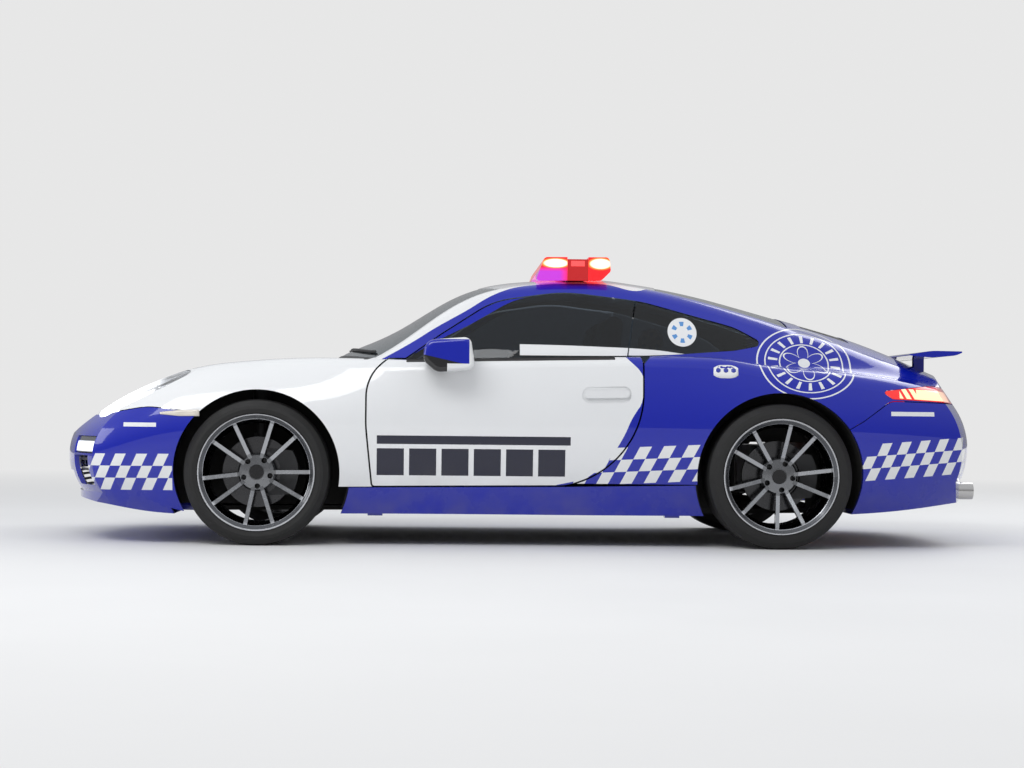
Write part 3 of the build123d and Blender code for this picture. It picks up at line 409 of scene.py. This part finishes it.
# White disc on the rear quarter: centre, radius, and the span and number of its dots
DISC_X, DISC_Z, DISC_R, DOT_SPAN, DOTS = 0.752, 1.022, 0.070, (0.030, 0.052), 6


def side_glass():
    """Dark tinted glass with a painted reflection of a light panel as a white band along its foot, and a
    white disc with dots on the rear quarter.
    """
    n = Nodes("side_glass")
    x, y, z = n.xyz()
    low, high = curve(n, x, REFLECTION_FOOT), curve(n, x, REFLECTION_TOP)
    # The band is a painted reflection: opaque white on the pane where a light panel's reflection falls
    band = both_of(n, within(n, x, *REFLECTION_X), below(n, z, high), above(n, z, low))
    dx, dz = n.math("SUBTRACT", x, DISC_X), n.math("SUBTRACT", z, DISC_Z)
    r = length(n, dx, dz)
    disc = below(n, r, DISC_R)
    turn = n.math("FRACT", n.math("MULTIPLY", angle_of(n, dx, dz), DOTS / (2 * math.pi)))
    dots = both_of(n, within(n, r, *DOT_SPAN), within(n, turn, 0.28, 0.72))
    rim = above(n, z, curve(n, x, BLUE_RIM))
    solid = either(n, band, disc, rim)
    colour = n.mix(both_of(n, disc, dots), WHITE, (0.10, 0.28, 0.60))
    colour = n.mix(rim, colour, BLUE)
    n.set(Base_Color=n.mix(solid, (0.10, 0.13, 0.16), colour), IOR=1.45, Roughness=smears(n))
    n.put(n.shader.inputs["Transmission Weight"], n.ramp(solid, 0.0, 1.0, 1.0, 0.0))
    return n.mat


def lens_mottle(n):
    return n.ramp(n.noise(14.0), 0.35, 0.65)


def ribbed_lens(n, tint, coat):
    """Gives a glowing lens its tint, gloss, coat and fine upright ribs."""
    place = n.xyz()
    rib = n.math("SINE", n.math("MULTIPLY", n.math("ADD", place["X"], place["Y"]), 700.0))
    gloss = n.ramp(n.noise(30.0), 0.3, 0.7, 0.08, 0.14)
    n.set(Base_Color=tint, Roughness=gloss, Emission_Color=tint, IOR=1.5)
    n.shader.inputs["Coat Weight"].default_value = coat
    return n.bump(rib, 0.15, 0.001)


def lit_lens(name, colour, strength):
    """Ribbed lens that glows."""
    n = Nodes(name)
    ribbed_lens(n, n.mix(lens_mottle(n), tuple(c * 0.85 for c in colour), colour), 1.0)
    glow = n.ramp(n.noise(9.0), 0.3, 0.7, strength * 0.7, strength * 1.2)
    n.put(n.shader.inputs["Emission Strength"], glow)
    return n.mat


# Lamps seen white-hot in the light bar's ends: x, z, half length, half height
BEACON_LAMPS = [(0.150, 1.352, 0.060, 0.021), (0.366, 1.351, 0.052, 0.025)]
BEACON_END_Y = 0.52
# Lamp blocks along the light bar: pitch along y, then foot and top
BEACON_BLOCK_PITCH, BEACON_BLOCK_Z = 0.118, (1.330, 1.364)
# Small lit window in each end of the light bar's body
BEACON_WINDOW_X, BEACON_WINDOW_Z = (0.224, 0.290), (1.338, 1.364)


def beacon_lens():
    """Red light bar lens: white-hot lamps in its ends, lamp blocks along it, a purple foot at its front."""
    n = Nodes("beacon_lens")
    x, y, z = n.xyz()
    out = n.math("ABSOLUTE", y)
    end = above(n, out, BEACON_END_Y)
    heat = 0.0
    for at_x, at_z, half_x, half_z in BEACON_LAMPS:
        u = n.math("DIVIDE", n.math("SUBTRACT", x, at_x), half_x)
        v = n.math("DIVIDE", n.math("SUBTRACT", z, at_z), half_z)
        heat = n.math("MAXIMUM", n.math("MULTIPLY", end, n.ramp(length(n, u, v), 1.30, 0.70)), heat)
    block = within(n, n.math("FRACT", n.math("DIVIDE", out, BEACON_BLOCK_PITCH)), 0.12, 0.88)
    blocks = both_of(n, block, within(n, z, *BEACON_BLOCK_Z), n.math("SUBTRACT", 1.0, end))
    low_front = both_of(n, n.ramp(z, 1.336, 1.312), n.ramp(x, 0.22, 0.17))
    tint = n.mix(lens_mottle(n), (0.70, 0.008, 0.012), (0.85, 0.015, 0.02))
    tint = n.mix(n.math("MULTIPLY", blocks, 0.6), tint, (1.0, 0.22, 0.16))
    tint = n.mix(low_front, tint, (0.38, 0.03, 0.46))
    tint = n.mix(n.ramp(heat, 0.0, 0.5), tint, (1.0, 0.22, 0.04))
    tint = n.mix(n.ramp(heat, 0.4, 0.9), tint, (1.0, 0.86, 0.66))
    ribbed_lens(n, tint, 0.6)
    n.put(n.shader.inputs["Emission Strength"], n.ramp(heat, 0.0, 1.0, 0.9, 1.5))
    return n.mat


def beacon_body():
    """Black light bar body whose ends glow red, with a small lit window in each."""
    n = Nodes("beacon_body")
    x, y, z = n.xyz()
    end = above(n, n.math("ABSOLUTE", y), BEACON_END_Y)
    window = both_of(n, end, within(n, x, *BEACON_WINDOW_X), within(n, z, *BEACON_WINDOW_Z))
    colour = n.mix(end, BLACK, (0.30, 0.004, 0.005))
    colour = n.mix(window, colour, (0.75, 0.06, 0.06))
    n.set(Base_Color=colour, Roughness=n.ramp(n.noise(60.0, 4.0), 0.3, 0.7, 0.38, 0.50))
    n.set(Emission_Color=colour, Emission_Strength=end)
    return n.bump(n.noise(360.0, 2.0), 0.05, 0.0006).mat


def marker_lens():
    """Lamp unit in the front bumper: a bright bar between dark silver edges."""
    n = Nodes("marker_lens")
    x, y, z = n.xyz()
    bar = both_of(n, n.ramp(z, 0.424, 0.430), n.ramp(z, 0.478, 0.472))
    tint = n.mix(bar, (0.20, 0.21, 0.23), (0.90, 0.93, 1.0))
    n.set(Base_Color=tint, Metallic=n.ramp(bar, 0.0, 1.0, 0.8, 0.0))
    n.set(Roughness=n.ramp(n.noise(30.0), 0.3, 0.7, 0.10, 0.18))
    n.set(Emission_Color=tint, Emission_Strength=n.ramp(bar, 0.0, 1.0, 0.0, 0.9))
    return n.bump(n.math("SINE", n.math("MULTIPLY", y, 500.0)), 0.1, 0.001).mat


def mirror_paint():
    """Blue mirror shell with a white rim and a black foot under its front."""
    n = Nodes("mirror_paint")
    x, y, z = n.xyz()
    under = both_of(n, below(n, z, 0.853), above(n, x, -0.37))
    rim = either(n, above(n, x, -0.268), above(n, z, 0.966), under)
    slope = n.math("MULTIPLY_ADD", x, 0.223, z)
    foot = both_of(n, below(n, slope, 0.787), below(n, x, -0.29), n.math("SUBTRACT", 1.0, under))
    return paint(n, n.mix(foot, n.mix(rim, tone(n, BLUE), tone(n, WHITE)), BLACK))


def rubber():
    n = Nodes("tyre_rubber")
    wear = n.noise(18.0, 5.0)
    n.set(Base_Color=n.mix(wear, (0.005, 0.005, 0.0055), (0.013, 0.0125, 0.012)))
    n.set(Roughness=n.ramp(wear, 0.3, 0.7, 0.60, 0.75))
    return n.bump(n.noise(400.0, 2.0), 0.1, 0.0006).mat


# Middle of the four wheels' centres, half the wheelbase, and the lips' depth in front and at the rear
WHEEL_MID_X, HALF_WHEELBASE, WHEEL_Z = -0.0255, 1.225, 0.341
LIP_Y = (0.861, 0.881)
# Rings painted on a wheel: inner radius, outer radius, colour
WHEEL_RINGS = [
    (0.0, 0.090, (0.20, 0.205, 0.215)),
    (0.244, 0.2655, (0.115, 0.12, 0.13)),
    (0.2655, 0.30, (0.62, 0.63, 0.66)),
    (0.244, 0.2495, (0.55, 0.56, 0.59)),
]
# Radius and depth that bound the barrel, the brake disc and the cap
BARREL_R, DISC_EDGE_R, DISC_Y, CAP_R, CAP_Y = 0.226, 0.170, 0.771, 0.0335, 0.80


def wheel_paint():
    """Gunmetal wheel with bright lip edges, dark barrel, brake disc behind the spokes and a dark cap."""
    n = Nodes("wheel_alloy")
    x, y, z = n.xyz()
    out = n.math("ABSOLUTE", y)
    dx = n.math("SUBTRACT", n.math("ABSOLUTE", n.math("SUBTRACT", x, WHEEL_MID_X)), HALF_WHEELBASE)
    r = length(n, dx, n.math("SUBTRACT", z, WHEEL_Z))
    lip_y = n.ramp(above(n, x, 0.0), 0.0, 1.0, *LIP_Y)
    streak = n.noise(40.0, 5.0)
    colour = n.mix(streak, (0.34, 0.35, 0.37), (0.42, 0.43, 0.45))
    zones = [(within(n, r, low, high), tint) for low, high, tint in WHEEL_RINGS]
    zones += [
        (both_of(n, above(n, r, BARREL_R), below(n, out, lip_y)), (0.012, 0.012, 0.014)),
        (both_of(n, below(n, r, DISC_EDGE_R), below(n, out, DISC_Y)), (0.045, 0.045, 0.048)),
        (both_of(n, below(n, r, CAP_R), above(n, out, CAP_Y)), (0.02, 0.02, 0.022)),
    ]
    for mask, tint in zones:
        colour = n.mix(mask, colour, tint)
    n.set(Base_Color=colour, Metallic=1.0, Roughness=n.ramp(streak, 0.3, 0.7, 0.20, 0.30))
    n.shader.inputs["Coat Weight"].default_value = 0.5
    return n.bump(n.noise(300.0, 2.0), 0.02, 0.0004).mat


def alloy(name, colour, rough):
    n = Nodes(name)
    streak = n.noise(40.0, 5.0)
    tint = n.mix(streak, tuple(c * 0.93 for c in colour), colour)
    n.set(Base_Color=tint, Metallic=1.0)
    n.set(Roughness=n.ramp(streak, 0.3, 0.7, rough, rough + 0.1))
    n.shader.inputs["Coat Weight"].default_value = 0.5
    return n.bump(n.noise(300.0, 2.0), 0.02, 0.0004).mat


def leather():
    n = Nodes("seat_leather")
    grain = n.new("ShaderNodeTexVoronoi")
    n.put(grain.inputs["Vector"], n.place())
    grain.inputs["Scale"].default_value = 420.0
    n.set(Base_Color=n.mix(n.noise(25.0, 4.0), (0.018, 0.018, 0.019), (0.035, 0.034, 0.034)))
    n.set(Roughness=0.55, IOR=1.45)
    return n.bump(grain.outputs["Distance"], 0.2, 0.0008).mat


# Bright field of the tail lamp: its ends, the fall of its line, then its foot and top on that line
TAIL_FIELD_X, TAIL_FALL, TAIL_FIELD_Z = (1.765, 2.05), 0.055, (0.813, 0.860)
# Slanting bars ahead of this place, the field whole behind it
TAIL_BARS_REAR_X, TAIL_BAR_LEAN, TAIL_BARS_PER_M = 1.85, 0.55, 26.0


def tail_lens():
    """Red lens with a bright inner field behind slanting bars, as it glows when lit."""
    n = Nodes("tail_lens")
    x, y, z = n.xyz()
    lean = n.math("MULTIPLY_ADD", z, TAIL_BAR_LEAN, x)
    bars = n.math("FRACT", n.math("MULTIPLY", lean, TAIL_BARS_PER_M))
    height = n.math("MULTIPLY_ADD", x, TAIL_FALL, z)
    field = both_of(n, within(n, x, *TAIL_FIELD_X), within(n, height, *TAIL_FIELD_Z))
    bright = both_of(n, field, either(n, above(n, x, TAIL_BARS_REAR_X), below(n, bars, 0.62)))
    tint = n.mix(bright, (0.70, 0.008, 0.006), (1.0, 0.50, 0.30))
    n.set(Base_Color=tint, Roughness=0.08, Emission_Color=tint, IOR=1.5)
    n.put(n.shader.inputs["Emission Strength"], n.ramp(bright, 0.0, 1.0, 0.55, 1.3))
    n.shader.inputs["Coat Weight"].default_value = 1.0
    return n.bump(n.math("SINE", n.math("MULTIPLY", x, 900.0)), 0.1, 0.0008).mat


def louvres():
    """Black grille with lengthwise slats."""
    n = Nodes("engine_louvres")
    slat = n.math("FRACT", n.math("MULTIPLY", n.math("ADD", n.xyz()["Y"], 1.0), 30.0))
    gap = below(n, slat, 0.45)
    n.set(Base_Color=n.mix(gap, (0.03, 0.03, 0.032), (0.002, 0.002, 0.002)))
    n.set(Roughness=n.ramp(gap, 0.0, 1.0, 0.35, 0.9))
    return n.bump(n.ramp(slat, 0.35, 0.55), 0.8, 0.006).mat


def mesh_grid(name, points, loops_closed, material, body):
    """Sheet of quads from rows of points, riding on a body."""
    rows, cols = len(points), len(points[0])
    verts = [p for row in points for p in row]
    faces = []
    for i in range(rows - 1):
        for j in range(cols if loops_closed else cols - 1):
            k = (j + 1) % cols
            faces.append((i * cols + j, i * cols + k, (i + 1) * cols + k, (i + 1) * cols + j))
    return add_mesh(name, verts, faces, material, body)


def add_mesh(name, verts, faces, material, body, smooth=True):
    data = bpy.data.meshes.new(name)
    data.from_pydata([tuple(v) for v in verts], [], faces)
    data.materials.append(material)
    for poly in data.polygons:
        poly.use_smooth = smooth
    data.update()
    obj = bpy.data.objects.new(name, data)
    scene.collection.objects.link(obj)
    if body:
        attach(obj, body)
    return obj


SIDES = (("left", -1.0), ("right", 1.0))


def surface(nodes):
    """Search trees of the CAD nodes that trim is laid on."""
    graph = bpy.context.evaluated_depsgraph_get()
    return [BVHTree.FromObject(NODES[name], graph) for name in nodes]


def hit(trees, origin, direction):
    found = [h for h in (tree.ray_cast(origin, direction) for tree in trees) if h[0] is not None]
    return min(found, key=lambda h: h[3]) if found else None


def laid(name, trees, rows, direction, material, body, lift=0.002, sink=0.004):
    """Thin raised patch on a surface: rows of points are cast along a direction and closed by a skirt."""
    ray = Vector(direction).normalized()
    top, foot = [], []
    reach, normal = 0.3, -ray
    for row in rows:
        line_top, line_foot = [], []
        for p in row:
            h = hit(trees, Vector(p), ray)
            at = h[0] if h else Vector(p) + ray * reach
            reach = (at - Vector(p)).dot(ray)
            normal = h[1] if h and h[1].dot(ray) < 0 else normal
            line_top.append(at + normal * lift)
            line_foot.append(at - normal * sink)
        top.append(line_top)
        foot.append(line_foot)
    n, m = len(rows), len(rows[0])
    verts = [v for line in top for v in line] + [v for line in foot for v in line]
    cells = [(i * m + j, (i + 1) * m + j) for i in range(n - 1) for j in range(m - 1)]
    faces = [(a, a + 1, b + 1, b) for a, b in cells]
    rim = [(0, j) for j in range(m)] + [(i, m - 1) for i in range(1, n)]
    rim += [(n - 1, j) for j in range(m - 2, -1, -1)] + [(i, 0) for i in range(n - 2, 0, -1)]
    for (i, j), (k, l) in zip(rim, rim[1:] + rim[:1]):
        a, b = i * m + j, k * m + l
        faces.append((a, a + n * m, b + n * m, b))
    return add_mesh(name, verts, faces, material, body)


def strip_rows(line, width, y):
    """Rows across a strip that follows a line of (x, z) points, as cast origins at y."""
    rows = []
    for i, (x, z) in enumerate(line):
        a, b = line[max(i - 1, 0)], line[min(i + 1, len(line) - 1)]
        dx, dz = b[0] - a[0], b[1] - a[1]
        d = math.hypot(dx, dz) or 1.0
        w = width[i] if isinstance(width, list) else width
        rows.append([(x - dz / d * w * t, y, z + dx / d * w * t) for t in (-0.5, -0.17, 0.17, 0.5)])
    return rows


# Tread bands: inner and outer edge as shares of the tyre's half width, blocks round it, skew of a block
TREAD_BANDS = [
    (-0.80, -0.50, 66, 0.10), (-0.44, -0.20, 44, 0.22), (-0.13, 0.13, 1, 0.0), (0.20, 0.44, 44, -0.22),
    (0.50, 0.80, 66, -0.10),
]
TREAD_TOP, TREAD_FOOT = 0.0004, 0.0075
RIB_STEPS, BLOCK_LENGTH, SKEW_ANGLE = 72, 0.80, 0.12
SHOULDER_FROM, SHOULDER_SPAN, SHOULDER_DROP = 0.62, 0.18, 0.006


def rib(y0, y1, foot, top, turned_to):
    """Plain ring of tread: vertices and faces."""
    verts, faces = [], []
    for k in range(RIB_STEPS):
        a = 2 * math.pi * k / RIB_STEPS
        verts += [turned_to(a, y, r) for y, r in ((y0, foot), (y0, top), (y1, top), (y1, foot))]
        for j in range(3):
            a, b = k * 4 + j, ((k + 1) % RIB_STEPS) * 4 + j
            faces.append((a, a + 1, b + 1, b))
    return verts, faces


def block(y0, y1, k, count, skew, foot, top, turned_to):
    """One block of tread, leaning and dropping at the shoulder: vertices and faces."""
    a0, a1 = 2 * math.pi * k / count, 2 * math.pi * (k + BLOCK_LENGTH) / count
    verts = []
    for r in (foot, top):
        for a, y, turn in ((a0, y0, 0.0), (a1, y0, 0.0), (a1, y1, skew), (a0, y1, skew)):
            drop = SHOULDER_DROP * max(0.0, abs(y) - SHOULDER_FROM) / SHOULDER_SPAN if r == top else 0.0
            verts.append(turned_to(a + turn * SKEW_ANGLE, y, r - drop))
    faces = [(4, 5, 6, 7)] + [(i, (i + 1) % 4, 4 + (i + 1) % 4, 4 + i) for i in range(4)]
    return verts, faces


def tread(end, side, material):
    """Blocks round a tyre between four grooves, with leaning shoulder blocks."""
    low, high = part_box(f"tyre_{end}_{side}")
    centre = (low + high) / 2
    radius, half = (high.z - low.z) / 2, (high.y - low.y) / 2
    top, foot = radius - TREAD_TOP, radius - TREAD_FOOT

    def turned_to(a, y, r):
        return centre.x + r * math.cos(a), centre.y + half * y, centre.z + r * math.sin(a)

    verts, faces = [], []
    for y0, y1, count, skew in TREAD_BANDS:
        if count == 1:
            pieces = [rib(y0, y1, foot, top, turned_to)]
        else:
            pieces = [block(y0, y1, k, count, skew, foot, top, turned_to) for k in range(count)]
        for piece_verts, piece_faces in pieces:
            base = len(verts)
            verts += piece_verts
            faces += [tuple(base + i for i in face) for face in piece_faces]
    add_mesh(f"tread_{end}_{side}", verts, faces, material, f"wheel_{end}_{side}", smooth=False)


# Half size of the floor, and the distances between which it fades into the backdrop
FLOOR_REACH, FADE = 40.0, (3.5, 11.0)


def add_floor():
    n = Nodes("studio_floor")
    n.set(Base_Color=n.mix(n.noise(0.8, 4.0), (0.74, 0.74, 0.74), (0.80, 0.80, 0.80)), Roughness=0.7)
    place = n.xyz()
    glow = n.new("ShaderNodeEmission")
    glow.inputs["Color"].default_value = (*BACKDROP, 1.0)
    fade = n.new("ShaderNodeMixShader")
    n.put(fade.inputs[0], n.ramp(length(n, place["X"], place["Y"]), *FADE))
    n.put(fade.inputs[1], n.shader.outputs[0])
    n.put(fade.inputs[2], glow.outputs[0])
    n.put(n.out.inputs["Surface"], fade.outputs[0])
    ends = (-FLOOR_REACH, FLOOR_REACH)
    floor = mesh_grid("floor", [[(x, y, 0.0) for x in ends] for y in ends], False, n.mat, None)


# Area lights: name, place, what it points at, length and width, power
LIGHTS = [
    ("key", (-3.0, -5.5, 6.0), (0.0, 0.0, 0.5), (6.0, 3.0), 260),
    ("fill", (5.0, 3.0, 5.0), (0.0, 0.0, 0.5), (5.0, 4.0), 140),
    ("front", (-7.5, -1.0, 2.5), (-1.5, 0.0, 0.5), (3.0, 2.0), 60),
]
# Sky behind the lights: height in the world's own scale, colour
SKY = [(0.0, (0.30, 0.30, 0.31, 1)), (0.55, (0.85, 0.87, 0.90, 1))]
SKY_STRENGTH = 0.85


def area(name, at, target, size, power):
    data = bpy.data.lights.new(name, "AREA")
    data.shape, data.size, data.size_y, data.energy = "RECTANGLE", size[0], size[1], power
    obj = bpy.data.objects.new(name, data)
    obj.location = at
    obj.rotation_euler = (Vector(target) - Vector(at)).to_track_quat("-Z", "Y").to_euler()
    scene.collection.objects.link(obj)


def add_light():
    world = bpy.data.worlds.new("studio")
    world.use_nodes = True
    scene.world = world
    tree = world.node_tree
    coords = tree.nodes.new("ShaderNodeTexCoord").outputs["Generated"]
    split = tree.nodes.new("ShaderNodeSeparateXYZ")
    tree.links.new(coords, split.inputs[0])
    ramp = tree.nodes.new("ShaderNodeValToRGB")
    tree.links.new(split.outputs["Z"], ramp.inputs[0])
    for stop, (position, colour) in zip(ramp.color_ramp.elements, SKY):
        stop.position, stop.color = position, colour
    back = tree.nodes["Background"]
    tree.links.new(ramp.outputs["Color"], back.inputs["Color"])
    back.inputs["Strength"].default_value = SKY_STRENGTH
    seen = tree.nodes.new("ShaderNodeBackground")
    seen.inputs["Color"].default_value = (*BACKDROP, 1.0)
    seen.inputs["Strength"].default_value = 1.0
    path = tree.nodes.new("ShaderNodeLightPath").outputs["Is Camera Ray"]
    mix = tree.nodes.new("ShaderNodeMixShader")
    tree.links.new(path, mix.inputs[0])
    tree.links.new(back.outputs[0], mix.inputs[1])
    tree.links.new(seen.outputs[0], mix.inputs[2])
    tree.links.new(mix.outputs[0], tree.nodes["World Output"].inputs["Surface"])
    for light in LIGHTS:
        area(*light)


def dress():
    """Gives all CAD nodes their finishes, and returns the plastic and the rubber that trim shares."""
    black = plain("black_plastic", BLACK, 0.45)
    under = plain("underbody_coating", (0.022, 0.021, 0.020), 0.85, grain=20.0, bump=0.3)
    iron = plain("suspension_iron", (0.05, 0.05, 0.052), 0.55, metal=0.6)
    tyre = rubber()
    corners = [f"{end}_{side}" for end in ("front", "rear") for side, _ in SIDES]
    chosen = {
        white_body(): ["front_lid", "fender_left", "fender_right", "door_left", "door_right", "roof"],
        blue_body(): [
            "front_bumper", "sills", "side_frame_left", "side_frame_right", "engine_lid", "rear_bumper",
            "rear_spoiler",
        ],
        clear_glass("screen_glass", (0.30, 0.36, 0.38)).mat: ["windscreen", "rear_window"],
        side_glass(): ["door_glass_left", "door_glass_right", "quarter_glass"],
        black: ["cowl", "bumper_grilles", "dashboard"],
        louvres(): ["engine_grille"],
        under: ["underbody", "luggage_tub", "wheelhouses"],
        iron: ["front_suspension", "rear_suspension", "knuckle_left", "knuckle_right"],
        lamp_lens(): ["headlamps"],
        leather(): ["front_seats", "rear_seats", "steering_wheel"],
        alloy("pipe_steel", (0.55, 0.54, 0.53), 0.15): ["exhaust"],
        alloy("engine_alloy", (0.30, 0.30, 0.31), 0.45): ["engine"],
        wheel_paint(): [f"rim_{corner}" for corner in corners],
        tyre: [f"tyre_{corner}" for corner in corners],
        tail_lens(): ["tail_lamps"],
        beacon_lens(): ["light_bar_lenses"],
        beacon_body(): ["light_bar"],
        marker_lens(): ["bumper_lamps"],
        mirror_paint(): ["mirror_left", "mirror_right"],
    }
    for material, nodes in chosen.items():
        for node in nodes:
            finish_node(node, material)
    return black, tyre


# Headlamp insides: centre and axis on the right side, then profiles as radius, depth along the axis
LAMP_AT, LAMP_AXIS = (-1.765, 0.650, 0.672), (-0.93, 0.10, 0.35)
BOWL = [(0.001, -0.055), (0.056, -0.050), (0.070, -0.020), (0.074, 0.0)]
RING = [(0.040, -0.030), (0.052, -0.018), (0.046, -0.012), (0.036, -0.030)]
PROJECTOR = [(0.036, -0.035), (0.032, -0.018), (0.018, -0.008), (0.001, -0.004)]
SPOT = [(0.010, -0.040), (0.010, -0.024), (0.001, -0.022)]
SPOT_OUT = 0.045


def headlamp(side, sign):
    """Bowl, silver reflector ring, projector and four lights behind the lens."""
    dark = plain(f"lamp_bowl_{side}", (0.05, 0.05, 0.055), 0.35)
    bright = alloy(f"lamp_reflector_{side}", MIRROR, 0.08)
    glow = lit_lens(f"lamp_light_{side}", (1.0, 1.0, 1.0), 3.0)
    lean = Vector((LAMP_AXIS[0], sign * LAMP_AXIS[1], LAMP_AXIS[2])).normalized()
    turn = lean.to_track_quat("Z", "Y").to_matrix().to_4x4()
    place = Matrix.Translation((LAMP_AT[0], sign * LAMP_AT[1], LAMP_AT[2])) @ turn

    def bowl(name, profile, material, steps=40, u=0.0, v=0.0):
        turns = [2 * math.pi * k / steps for k in range(steps)]
        rows = [
            [place @ Vector((u + r * math.cos(a), v + r * math.sin(a), depth)) for a in turns]
            for r, depth in profile
        ]
        mesh_grid(name, rows, True, material, "body")

    bowl(f"lamp_bowl_{side}", BOWL, dark)
    bowl(f"lamp_ring_{side}", RING, bright)
    bowl(f"lamp_projector_{side}", PROJECTOR, glow)
    for k, (u, v) in enumerate(((-1, 1), (1, 1), (1, -1), (-1, -1))):
        bowl(f"lamp_spot_{side}_{k}", SPOT, glow, 16, u * SPOT_OUT, v * SPOT_OUT)


# Wheel bolts: the hub's place and the first bolt's angle, then the hub's face and the heads beyond it
HUB_Y, FIRST_BOLT = {"front": 0.762, "rear": 0.750}, {"front": 57.8, "rear": 64.8}
HUB_FACE, HEAD_OUT = 0.050, 0.012
BOLTS, BOLT_CIRCLE_R, HEAD_SIDES = 5, 0.065, 6
# Rings of a bolt head: depth, radius
HEAD_RINGS = [(-0.010, 0.0105), (0.0, 0.0105), (0.001, 0.0085), (-0.004, 0.006)]


def wheel_bolts(end, side, sign, material):
    """Five bolt heads sunk in the holes round each wheel's centre."""
    low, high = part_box(f"rim_{end}_{side}")
    cx, cz = (low.x + high.x) / 2, (low.z + high.z) / 2
    face = HUB_Y[end] + HUB_FACE + HEAD_OUT
    verts, faces = [], []
    for k in range(BOLTS):
        a = math.radians(FIRST_BOLT[end] + 360 // BOLTS * k)
        x, z = cx + BOLT_CIRCLE_R * math.cos(a), cz + BOLT_CIRCLE_R * math.sin(a)
        base, size = len(verts), HEAD_SIDES
        for depth, r in HEAD_RINGS:
            for j in range(size):
                t = math.radians(360 // size * j + 30)
                verts.append((x + r * math.cos(t), sign * (face + depth), z + r * math.sin(t)))
        for start in range(base, len(verts) - size, size):
            for j in range(size):
                m = (j + 1) % size
                faces.append((start + j, start + m, start + size + m, start + size + j))
        faces.append(tuple(range(len(verts) - size, len(verts))))
    add_mesh(f"wheel_bolts_{end}_{side}", verts, faces, material, f"wheel_{end}_{side}", smooth=False)


# Lines of trim as x, z, with widths; they are cast inward from CAST_Y
CAST_Y = 1.3
INDICATOR = [(-1.700 + 0.0115 * k, 0.610 + 0.0002 * k) for k in range(17)]
INDICATOR_WIDTH = [0.008 + 0.0024 * k for k in range(9)] + [0.027] * 8
BELT_SEAL, BELT_SEAL_WIDTH = [(-0.560 + 0.035 * k, 0.8680 + 0.00080 * k) for k in range(29)], 0.014
EMBLEM = [(0.880 + 0.0145 * k, 0.832) for k in range(9)]
EMBLEM_WIDTH = [0.034, 0.052, 0.06, 0.062, 0.062, 0.062, 0.06, 0.052, 0.034]
EMBLEM_DOTS = [[(0.902 + 0.036 * k - 0.011 + 0.0055 * j, 0.838) for j in range(5)] for k in range(3)]
EMBLEM_DOT_WIDTH = [0.010, 0.019, 0.022, 0.019, 0.010]
MIRROR_GLASS_Y, MIRROR_GLASS_Z = (0.872, 0.92, 0.968), (0.845, 0.895, 0.945)


def side_trim(side, sign, black, lens):
    """Indicator strip, belt seal, a plain white emblem patch with dots and the mirror's glass on one side."""
    def strip(name, trees, line, width, material, body, lift, sink):
        rows = strip_rows(line, width, sign * CAST_Y)
        laid(name, trees, rows, (0.0, -sign, 0.0), material, body, lift, sink)

    bumper = surface(["front_bumper"])
    strip(f"indicator_{side}", bumper, INDICATOR, INDICATOR_WIDTH, lens, "body", 0.004, 0.006)
    door = f"door_{side}"
    strip(f"belt_seal_{side}", surface([door]), BELT_SEAL, BELT_SEAL_WIDTH, black, door, 0.002, 0.004)
    wing = surface([f"side_frame_{side}"])
    white = plain(f"emblem_white_{side}", (0.80, 0.81, 0.82), 0.3, coat=1.0)
    blue = plain(f"emblem_blue_{side}", (0.01, 0.03, 0.35), 0.3, coat=1.0)
    strip(f"emblem_{side}", wing, EMBLEM, EMBLEM_WIDTH, white, "body", 0.0008, 0.002)
    for k, dot in enumerate(EMBLEM_DOTS):
        strip(f"emblem_dot_{side}_{k}", wing, dot, EMBLEM_DOT_WIDTH, blue, "body", 0.0014, 0.002)
    mirror = alloy(f"mirror_glass_{side}", MIRROR, 0.02)
    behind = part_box(f"mirror_{side}")[1].x + 0.1
    rows = [[(behind, sign * y, z) for y in MIRROR_GLASS_Y] for z in MIRROR_GLASS_Z]
    shell = surface([f"mirror_{side}"])
    laid(f"mirror_glass_{side}", shell, rows, (-1.0, 0.0, 0.0), mirror, door, 0.0, 0.002)


# Parked wipers: y at foot and tip; they follow the screen's foot, which bows back by a depth at a half width
WIPERS, WIPER_STEPS, WIPER_HALF_WIDTH = [(-0.56, -0.02), (0.04, 0.50)], 12, 0.005
SCREEN_FOOT_X, FOOT_BOW, FOOT_HALF_WIDTH, TIP_BACK = -0.855, 0.192, 0.646, 0.012


def wipers(black):
    """Two parked wiper arms with blades along the foot of the windscreen."""
    screen = surface(["windscreen"])
    for k, (y0, y1) in enumerate(WIPERS):
        rows = []
        for j in range(WIPER_STEPS):
            t = j / (WIPER_STEPS - 1)
            y = y0 + (y1 - y0) * t
            x = SCREEN_FOOT_X + FOOT_BOW * (y / FOOT_HALF_WIDTH) ** 2 + TIP_BACK * t
            rows.append([(x + across, y, 1.5) for across in (-WIPER_HALF_WIDTH, 0.0, WIPER_HALF_WIDTH)])
        laid(f"wiper_{k}", screen, rows, (0.0, 0.0, -1.0), black, "body", 0.012, -0.002)


black, tyre = dress()
strip_lens = lit_lens("strip_lens", (0.62, 0.57, 0.50), 0.15)
for side, sign in SIDES:
    headlamp(side, sign)
    for end in ("front", "rear"):
        tread(end, side, tyre)
        wheel_bolts(end, side, sign, black)
    side_trim(side, sign, black, strip_lens)
wipers(black)
add_camera()
add_floor()
add_light()
scene.view_settings.view_transform = "Standard"
